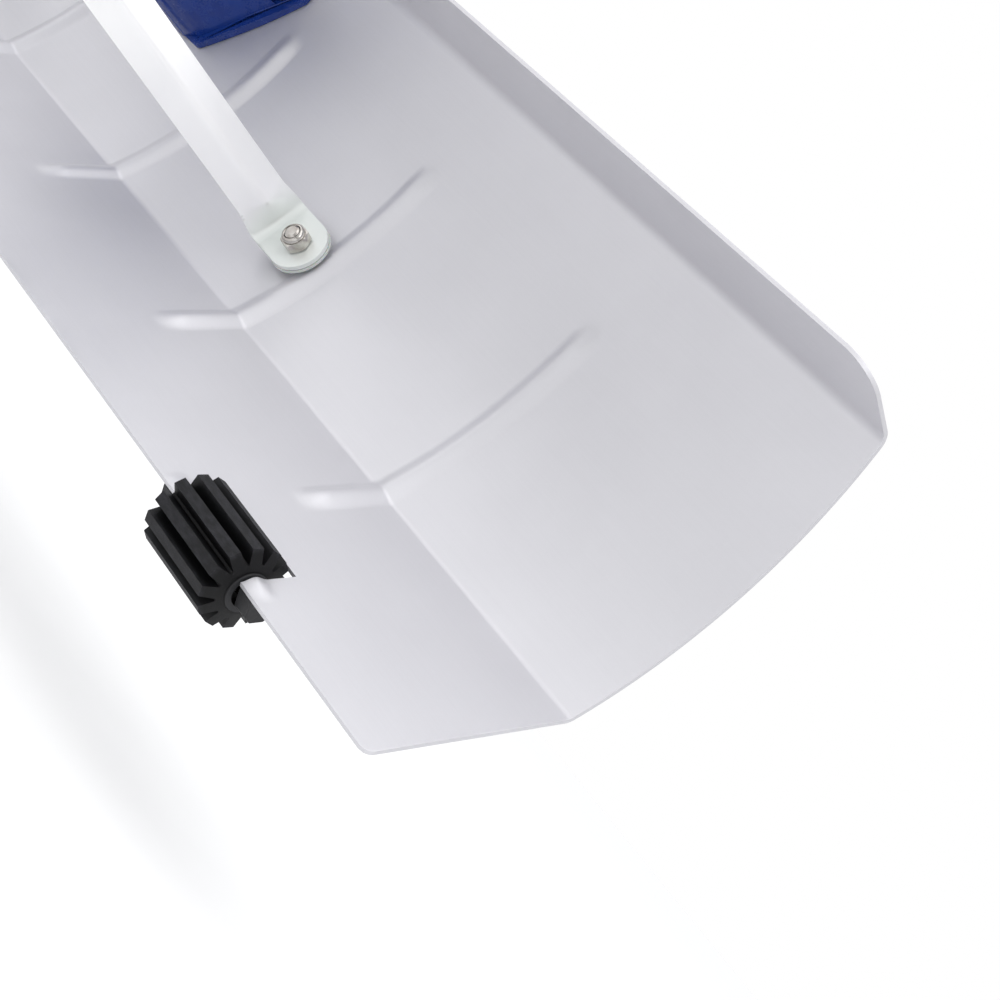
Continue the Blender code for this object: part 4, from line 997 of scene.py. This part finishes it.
def make_bracket():
    at = HEAD @ blade_place(0, POLE_S)
    outline = rounded_outline(mirrored(foot_outline()), 0.003)
    bracket = prism("head_bracket_moulding", outline, -0.008, FOOT_THICKNESS, at)
    base = mirrored(foot_outline(FOOT_RIM))
    points = [(x, y, z) for x, y in base for z in (FOOT_THICKNESS - 0.001, FOOT_THICKNESS + 0.001)]
    for x in (-BLOCK_HALF_WIDTH, BLOCK_HALF_WIDTH):
        points += [(x, BLOCK_LOW, BLOCK_REACH), (x, BLOCK_HIGH, BLOCK_REACH)]
    carve(bracket, hull("wedge", points, at), "UNION")
    bore = OUTER_RADIUS + GAP
    wall = bore + SOCKET_WALL
    collar = bore + COLLAR_WALL
    lip = 0.0012
    profile = [
        (0, SOCKET_REACH),
        (collar - lip, SOCKET_REACH),
        (collar, SOCKET_REACH - lip),
        (collar, SOCKET_REACH - COLLAR_LENGTH),
        (wall, SOCKET_REACH - COLLAR_LENGTH - (collar - wall)),
        (wall, 0.001),
        (0, 0.001),
    ]
    carve(bracket, lathe("socket", profile, POLE, 72), "UNION")
    carve(bracket, panel_envelope(FOOT_HALF_TOP + 0.01), "INTERSECT")
    carve(bracket, rod("bore", bore, POLE_STANDOFF - 0.001, SOCKET_REACH + 0.002, POLE, 72))
    carve(bracket, bolt_hole(on_pole(SOCKET_BOLT_T) @ ALONG_X, CROSS_REACH, 32))
    for _, side in SIDES:
        bolt_at = HEAD @ blade_place(side * BRACKET_BOLT_X, BRACKET_BOLT_S)
        carve(bracket, rod("pocket", BOLT_POCKET_RADIUS, FOOT_THICKNESS, BLOCK_REACH, bolt_at, 48))
        carve(bracket, bolt_hole(bolt_at, SHEET_REACH, 32))
    softened(bracket, 0.0006, 3, 30)
    piece(bracket, BLUE, "head", "blue_plastic", "head_bracket")


# ---------------------------------------------------------------- the braces


def filleted(before, corner, after, radius, steps):
    back = (before - corner).normalized()
    ahead = (after - corner).normalized()
    half_turn = back.angle(ahead) / 2
    start = corner + back * radius / math.tan(half_turn)
    centre = corner + (back + ahead).normalized() * radius / math.sin(half_turn)
    total = math.pi - 2 * half_turn
    arm = start - centre
    axis = arm.cross(ahead).normalized()
    side = axis.cross(arm)
    turns = [total * k / steps for k in range(steps + 1)]
    return [centre + arm * math.cos(turn) + side * math.sin(turn) for turn in turns]


def brace_path():
    blade_bolt, pole_bolt, _, _ = brace_ends()
    outwards = Vector((1, 0, 0))
    down_pole = Vector((0, -math.cos(POLE_DROP), -math.sin(POLE_DROP)))
    blade_tip = blade_bolt + outwards * TAB_PAST_BOLT
    blade_corner = blade_bolt - outwards * (TAB_BEFORE_BOLT + TAB_BEND_RADIUS)
    pole_corner = pole_bolt - down_pole * POLE_TAB_BEFORE_BOLT
    pole_tip = pole_bolt + down_pole * TAB_PAST_BOLT
    half = BRACE_WIDTH / 2
    round_end = [half * (1 - math.cos(math.radians(a))) for a in range(0, 91, 6)]
    points = [blade_tip - outwards * d for d in round_end]
    points += filleted(blade_tip, blade_corner, pole_corner, TAB_BEND_RADIUS, 10)
    body = (pole_corner - blade_corner).normalized()
    near = blade_corner + body * TAB_BEND_RADIUS
    far = pole_corner - body * TAB_BEND_RADIUS
    points += [near + body * (FOLD_RUN * k / 12) for k in range(1, 13)]
    length = (far - near).length - 2 * FOLD_RUN
    points += [near + body * (FOLD_RUN + length * k / 24) for k in range(1, 24)]
    points += [far - body * (FOLD_RUN * k / 12) for k in range(12, 0, -1)]
    points += filleted(blade_corner, pole_corner, pole_tip, 0.012, 8)
    points += [pole_tip - down_pole * d for d in reversed(round_end)]
    return points, body


def make_brace(name, side):
    blade_bolt, pole_bolt, blade_up, pole_up = brace_ends()
    path, body = brace_path()
    half = BRACE_WIDTH / 2
    across = np.linspace(-1, 1, 21)
    soft = 0.10
    verts = []
    for i, point in enumerate(path):
        tangent = (path[min(i + 1, len(path) - 1)] - path[max(i - 1, 0)]).normalized()
        share = max(0.0, min(1.0, (point.y - blade_bolt.y) / (pole_bolt.y - blade_bolt.y)))
        up = (blade_up * (1 - share) + pole_up * share).normalized()
        outward = tangent.cross(up).normalized()
        blade_run = (point - blade_bolt).length - TAB_BEFORE_BOLT - TAB_BEND_RADIUS
        pole_run = (point - pole_bolt).length - POLE_TAB_BEFORE_BOLT - TAB_BEND_RADIUS
        fold = float(smooth_step(min(blade_run, pole_run) / FOLD_RUN))
        width = half + (BRACE_FOLDED_WIDTH / 2 - half) * fold
        to_tip = min((point - path[0]).length, (point - path[-1]).length)
        if to_tip < half:
            width = math.sqrt(max(0.0, half**2 - (half - to_tip) ** 2))
        for c in across:
            ridge = (math.hypot(1, soft) - math.hypot(c, soft)) / (math.hypot(1, soft) - soft)
            verts.append(point + up * (c * width) - outward * (BRACE_FOLD_DEPTH * fold * ridge))
    count = len(across)
    faces = []
    for j in range(len(path) - 1):
        for i in range(count - 1):
            a = j * count + i
            faces.append((a, a + 1, a + count + 1, a + count))
    middle = (blade_bolt + pole_bolt) / 2
    x_axis = Vector((side * body.x, body.y, body.z))
    z_axis = x_axis.cross(Vector((0, 0, 1))).normalized()
    y_axis = z_axis.cross(x_axis)
    local = Matrix((x_axis, y_axis, z_axis)).transposed().to_4x4()
    local.translation = (side * middle.x, middle.y, middle.z)
    back = local.inverted()
    placed = [back @ Vector((side * v.x, v.y, v.z)) for v in verts]
    brace = mesh_object(f"brace_{name}_strap", placed, faces, HEAD @ local)
    thickened(brace, BRACE_SHEET, 0)
    carve(brace, bolt_hole(HEAD @ blade_place(side * BRACE_BOLT_X, BRACE_S), SHEET_REACH))
    carve(brace, bolt_hole(on_pole(BRACE_POLE_T) @ ALONG_X, CROSS_REACH))
    softened(brace, 0.0004, 3, 60)
    piece(brace, BRIGHT, "head", "bright_aluminium", f"brace_{name}")

    def at(lift):
        return HEAD @ blade_place(side * BRACE_BOLT_X, BRACE_S, lift)

    low = RIB_HEIGHT + GAP
    high = low + BUSH_DISC
    bore = BOLT_RADIUS + BOLT_HOLE_GAP
    profile = [
        (BUSH_DISC_RADIUS, high), (BUSH_DISC_RADIUS, low), (BUSH_BOSS_RADIUS, low),
        (BUSH_BOSS_RADIUS, GAP), (bore, GAP), (bore, high),
    ]
    bush = softened(lathe(f"brace_bush_{name}_disc", profile, at(0), 96, closed=True), 0.0002, 2, 40)
    piece(bush, NYLON, "head", "clear_nylon", f"brace_bush_{name}")
    nut_lift = brace_lift() + BRACE_SHEET / 2 + GAP
    make_bolt(f"brace_blade_bolt_{name}", at(-SHEET - GAP), nut_lift + SHEET + GAP)
    make_nut(f"brace_blade_nut_{name}", at(nut_lift))


def make_bracket_fasteners(name, side):
    def at(lift):
        return HEAD @ blade_place(side * BRACKET_BOLT_X, BRACKET_BOLT_S, lift)

    washer_lift = FOOT_THICKNESS + GAP
    nut_lift = washer_lift + WASHER + GAP
    make_bolt(f"bracket_bolt_{name}", at(-SHEET - GAP), nut_lift + SHEET + GAP)
    make_washer(f"bracket_washer_{name}", at(washer_lift))
    make_nut(f"bracket_nut_{name}", at(nut_lift))


def make_cross_bolt(name, t, half_grip):
    make_bolt(f"{name}_bolt", on_pole(t, -half_grip) @ ALONG_X, 2 * half_grip)
    make_nut(f"{name}_nut", on_pole(t, half_grip) @ ALONG_X)


# ---------------------------------------------------------------- the pole


def tube(name, inner, outer, low, high, holes=()):
    rim = 0.00035
    profile = [
        (outer - rim, high), (outer, high - rim), (outer, low + rim), (outer - rim, low),
        (inner + rim, low), (inner, low + rim), (inner, high - rim), (inner + rim, high),
    ]
    obj = lathe(name, profile, POLE, 96, closed=True)
    for t in holes:
        carve(obj, bolt_hole(on_pole(t) @ ALONG_X, CROSS_REACH))
    return shaded(obj)


def make_pole():
    bolts = (SOCKET_BOLT_T, BRACE_POLE_T)
    outer = tube("outer_pole_tube", OUTER_RADIUS - TUBE_WALL, OUTER_RADIUS, POLE_STANDOFF, OUTER_END, bolts)
    piece(outer, TUBE, "head", "tube_aluminium", "outer_pole")
    inner = tube("inner_pole_tube", INNER_RADIUS - TUBE_WALL, INNER_RADIUS, INNER_START, INNER_END)
    piece(inner, TUBE, "inner_pole", "tube_aluminium", "inner_pole")
    bore = INNER_RADIUS - TUBE_WALL - GAP
    head = OUTER_RADIUS - TUBE_WALL - RUNNING_GAP
    start = INNER_START
    profile = [
        (bore - 0.003, start + 0.016), (bore, start + 0.015), (bore, start - GAP),
        (head - 0.001, start - GAP), (head, start - 0.0015), (head, start - BUSH_HEAD + 0.001),
        (head - 0.001, start - BUSH_HEAD),
        (bore - 0.003, start - BUSH_HEAD),
    ]
    bush = softened(lathe("inner_pole_bush_ring", profile, POLE, 72, closed=True), 0.0003, 2, 30)
    piece(bush, BLACK, "inner_pole", "black_plastic", "inner_pole_bush")


def grooves(radius, start, count, pitch, depth, width):
    """The points of small grooves turned into a surface."""
    points = []
    for k in range(count):
        z = start - pitch * k
        points += [(radius, z), (radius - depth, z - 0.0004)]
        points += [(radius - depth, z - width + 0.0004), (radius, z - width)]
    return points


def make_grip():
    """The sleeve with its finger grooves and a field of fine ribs, and the cap with a grooved rim."""
    bore = INNER_RADIUS + GAP
    low = INNER_END - CAP_RIM - GRIP_LENGTH
    high = INNER_END - CAP_RIM - GAP
    pitch = (GRIP_LENGTH - 2 * GRIP_END) / GRIP_WAVES
    first = high - GRIP_END
    last = first - pitch * GRIP_WAVES
    r = GRIP_RADIUS
    profile = [(r - 0.0022, high), (r - 0.0006, high - 0.0005), (r, high - 0.0022)]
    profile += grooves(r, high - 0.0045, 5, 0.0018, 0.0006, 0.0012)
    for z in np.linspace(first, last, 101):
        wave = math.sin(math.pi * (first - z) / pitch) ** 2
        profile.append((r - GRIP_WAVE_DEPTH * wave**0.7, z))
    profile += grooves(r, last - 0.0018, 4, 0.0018, 0.0006, 0.0012)
    profile += [(r, low + 0.004), (r - 0.0012, low + 0.0012), (r - 0.003, low), (bore, low), (bore, high)]
    grip = shaded(lathe("grip_sleeve", profile, POLE, 96, closed=True))
    piece(grip, FOAM, "inner_pole", "grip_rubber", "grip")
    spigot = INNER_RADIUS - TUBE_WALL - GAP
    rim = INNER_END - CAP_RIM
    cap = [
        (0, POLE_END - 0.0006), (CAP_RADIUS * 0.55, POLE_END - 0.0006), (CAP_RADIUS * 0.60, POLE_END),
        (CAP_RADIUS - 0.0008, POLE_END), (CAP_RADIUS, POLE_END - 0.0008),
    ]
    cap += grooves(CAP_RADIUS, POLE_END - 0.0045, 3, 0.0022, 0.0004, 0.0013)
    cap += [
        (CAP_RADIUS, rim + 0.0015), (CAP_RADIUS - 0.0015, rim), (INNER_RADIUS + GAP, rim),
        (INNER_RADIUS + GAP, INNER_END + GAP), (spigot, INNER_END + GAP), (spigot, rim), (0, rim),
    ]
    end_cap = softened(lathe("end_cap_moulding", cap, POLE, 96), 0.0002, 2, 35)
    piece(end_cap, BLACK, "inner_pole", "black_plastic", "end_cap")


# ---------------------------------------------------------------- the flip lock


def make_lock():
    bore = OUTER_RADIUS + GAP
    wall = bore + LOCK_WALL
    throat = INNER_RADIUS + RUNNING_GAP
    low = OUTER_END - LOCK_BELOW
    high = OUTER_END + LOCK_ABOVE
    lip = 0.0015
    profile = [
        (wall - 2 * lip, high), (wall, high - 2 * lip), (wall, low + lip), (wall - lip, low),
        (bore, low), (bore, OUTER_END + GAP), (throat, OUTER_END + GAP), (throat, high),
    ]
    centre = on_pole(LOCK_T)
    collar = lathe("lock_collar_moulding", profile, POLE, 72, closed=True)
    foot = bore + LOCK_WALL / 2
    ear = EAR_HALF_LENGTH
    outline = rounded_outline([(-ear, foot), (ear, foot), (ear, EAR_TOP), (-ear, EAR_TOP)], 0.0012)
    ear_way = Matrix(((0, 0, 1, 0), (0, 1, 0, 0), (1, 0, 0, 0), (0, 0, 0, 1)))
    carve(collar, prism("ears", outline, -EAR_HALF_WIDTH, EAR_HALF_WIDTH, centre @ ear_way), "UNION")
    carve(collar, block("slit", (-LOCK_SLIT / 2, 0, -0.04), (LOCK_SLIT / 2, EAR_TOP + 0.002, 0.04), centre))
    screw_at = on_pole(LOCK_T, 0, SCREW_UP)
    carve(collar, bolt_hole(screw_at @ ALONG_X, LOCK_REACH, 32))
    for k in range(9):
        turn = Matrix.Rotation(math.radians(150 + 15 * k), 4, "Z")
        inner, outer = (wall - 0.0006, -0.0008, low + 0.006), (wall + 0.001, 0.0008, high - 0.006)
        carve(collar, block("groove", inner, outer, POLE @ turn))
    softened(collar, 0.0005, 3, 30)
    piece(collar, BLACK, "head", "black_plastic", "lock_collar")

    nut_x = -EAR_HALF_WIDTH - GAP
    end_x = nut_x - NUT_HEIGHT - BOLT_PAST_NUT
    profile = [(0, LEVER_PIN_X), (BOLT_RADIUS, LEVER_PIN_X)]
    z = nut_x + 0.004
    profile += [(BOLT_RADIUS, z)]
    while z - THREAD_PITCH > end_x + 0.0004:
        profile += [(BOLT_RADIUS - THREAD_DEPTH, z - 0.0004), (BOLT_RADIUS, z - 0.0007)]
        z -= THREAD_PITCH
    profile += [(BOLT_RADIUS - 0.0006, end_x), (0, end_x + 0.0001)]
    screw = lathe("lock_screw_shank", profile, screw_at @ ALONG_X, 40)
    half = SCREW_EYE / 2
    pin_at = on_pole(LOCK_T, LEVER_PIN_X, SCREW_UP)
    carve(screw, rod("eye", SCREW_EYE_RADIUS, -half, half, pin_at, 56), "UNION")
    carve(screw, rod("hole", LEVER_PIN_RADIUS + RUNNING_GAP, -LOCK_REACH, LOCK_REACH, pin_at, 40))
    softened(screw, 0.0002, 2, 35)
    piece(screw, STEEL, "head", "stainless_steel", "lock_screw")
    make_nut("lock_nut", on_pole(LOCK_T, nut_x, SCREW_UP) @ Matrix.Rotation(-math.pi / 2, 4, "Y"))

    half = EAR_HALF_LENGTH - 0.0004
    r = LEVER_PIN_RADIUS
    upper = [(0, half), (r - 0.0004, half), (r, half - 0.0004), (r, half - 0.0012)]
    upper += [(r - 0.0003, half - 0.0014), (r - 0.0003, half - 0.0018), (r, half - 0.0020)]
    pin = lathe("lever_pin_rod", both_ends(upper), pin_at, 40)
    softened(pin, 0.0001, 1, 30)
    piece(pin, STEEL, "head", "stainless_steel", "lever_pin")


def make_lever():
    """The flip lever: a cam fork and an arm that wraps the collar, grooved for a finger near its tip."""
    half = LEVER_LENGTH / 2
    pin = Vector((LEVER_PIN_X, SCREW_UP))
    clear = OUTER_RADIUS + GAP + LOCK_WALL + 0.0012
    outer = clear + LEVER_THICKNESS
    start, end = LEVER_SWEEP
    inside = arc((0, 0), clear, start, end, 28)
    outside = arc((0, 0), outer, end, start, 28)
    tip = [(outside[0][0] + 0.0035, outside[0][1] - 0.0025)]
    tip_inner = [(inside[-1][0] + 0.0005, inside[-1][1] - 0.0030)]
    shoulder = [(pin.x + LEVER_CAM_RADIUS, pin.y), (pin.x - 0.001, pin.y - LEVER_CAM_RADIUS + 0.0008)]
    outline = [(x - pin.x, y - pin.y) for x, y in inside + tip_inner + tip + outside + shoulder]
    at = on_pole(LOCK_T, pin.x, pin.y)
    lever = prism("lock_lever_arm", outline, -half, half, at)
    cam_at = at @ Matrix.Translation((-LEVER_CAM_OFFSET, 0, 0))
    carve(lever, rod("cam", LEVER_CAM_RADIUS, -half, half, cam_at, 64), "UNION")
    slot_half = SCREW_EYE / 2 + 0.0004
    carve(lever, rod("slot", LEVER_CAM_RADIUS + LEVER_CAM_OFFSET + 0.0006, -slot_half, slot_half, at, 64))
    carve(lever, rod("hole", LEVER_PIN_RADIUS + RUNNING_GAP, -LOCK_REACH, LOCK_REACH, at, 40))
    for k in range(4):
        turn = end + math.radians(5 + 6.5 * k)
        way = on_pole(LOCK_T) @ Matrix.Rotation(turn, 4, "Z")
        groove_at = way @ Matrix.Translation((outer + 0.0001, 0, 0))
        carve(lever, rod("groove", LEVER_GROOVE_RADIUS, 0.0025 - half, half - 0.0025, groove_at, 16))
    softened(lever, 0.0005, 3, 30)
    piece(lever, BLUE, "lock_lever", "blue_plastic", "lock_lever")


# ---------------------------------------------------------------- assembly

make_blade()
make_bracket()
for end_name, end_side in SIDES:
    make_roller(end_name, end_side)
    make_axle(end_name, end_side)
    make_brace(end_name, end_side)
    make_bracket_fasteners(end_name, end_side)
    for holder_name, holder_side in (("inner", -end_side), ("outer", end_side)):
        make_holder(f"axle_holder_{end_name}_{holder_name}", end_side, holder_side)
make_cross_bolt("socket", SOCKET_BOLT_T, OUTER_RADIUS + GAP + COLLAR_WALL + GAP)
make_cross_bolt("brace_pole", BRACE_POLE_T, OUTER_RADIUS + BRACE_SHEET + 2 * GAP)
make_pole()
make_grip()
make_lock()
make_lever()

# ---------------------------------------------------------------- floor, light and camera


def make_floor():
    bm = bmesh.new()
    bmesh.ops.create_circle(bm, cap_ends=True, radius=FLOOR_RADIUS, segments=96)
    floor = finished(bm, "floor")
    floor.location.z = -FLOOR_DROP
    s = Surface("floor_paper", (0.81, 0.81, 0.81), 0.85, Specular_IOR_Level=0.1)
    s.color(s.mixed(s.spread(s.noise(0.12, 3), 0, 1), (0.80, 0.80, 0.80), (0.82, 0.82, 0.82)))
    floor.data.materials.append(s.material)


def area_light(name, at, towards, size, power):
    light = bpy.data.lights.new(name, "AREA")
    light.shape = "DISK"
    light.size = size
    light.energy = power
    obj = added(name, light)
    obj.location = at
    obj.rotation_euler = (Vector(at) - Vector(towards)).to_track_quat("Z", "Y").to_euler()


def make_world():
    """Even white light, a little dimmer from low down. The camera sees it as a plain white backdrop."""
    world = bpy.data.worlds.new("studio")
    bpy.context.scene.world = world
    world.use_nodes = True
    nodes = world.node_tree.nodes
    links = world.node_tree.links
    light = nodes["Background"]
    coords = nodes.new("ShaderNodeTexCoord")
    split = nodes.new("ShaderNodeSeparateXYZ")
    ramp = nodes.new("ShaderNodeMapRange")
    links.new(coords.outputs["Generated"], split.inputs["Vector"])
    links.new(split.outputs["Z"], ramp.inputs["Value"])
    for key, value in zip(("From Min", "From Max", "To Min", "To Max"), (0.0, 1.0, 0.52, 1.62)):
        ramp.inputs[key].default_value = value
    light.inputs["Color"].default_value = (0.985, 0.99, 1.0, 1)
    links.new(ramp.outputs["Result"], light.inputs["Strength"])
    backdrop = nodes.new("ShaderNodeBackground")
    backdrop.inputs["Color"].default_value = (1, 1, 1, 1)
    backdrop.inputs["Strength"].default_value = 1.0
    path = nodes.new("ShaderNodeLightPath")
    mix = nodes.new("ShaderNodeMixShader")
    links.new(path.outputs["Is Camera Ray"], mix.inputs["Fac"])
    links.new(light.outputs["Background"], mix.inputs[1])
    links.new(backdrop.outputs["Background"], mix.inputs[2])
    links.new(mix.outputs["Shader"], nodes["World Output"].inputs["Surface"])


def make_camera():
    """Close to the blade's right end, near the floor and rolled, as the photograph was taken."""
    camera = bpy.data.cameras.new("camera")
    camera.sensor_width = 36
    camera.lens = 75.6
    camera.clip_start = 0.01
    camera.clip_end = 100
    ahead = Vector((-0.6106, 0.791, 0.053)).normalized()
    right = ahead.cross(Vector((-0.59274, -0.49987, 0.63150))).normalized()
    up = right.cross(ahead)
    place = Matrix((right, up, -ahead)).transposed().to_4x4()
    place.translation = HEAD @ Vector((0.5946, -0.4008, 0.0352))
    bpy.context.scene.camera = added("camera", camera, place)


make_floor()
make_world()
area_light("key", (1.8, -0.5, 1.8), (0.15, 0.7, 0.08), 1.4, 11)
area_light("left", (-1.8, -0.6, 1.3), (-0.1, 0.7, 0.08), 1.8, 4)
area_light("front", (0.0, -1.5, 2.8), (0.0, 0.5, 0.0), 2.4, 10)
area_light("back", (0.3, 2.4, 1.9), (0.1, 0.9, 0.0), 2.0, 7)
make_camera()
bpy.context.scene.view_settings.view_transform = "Standard"
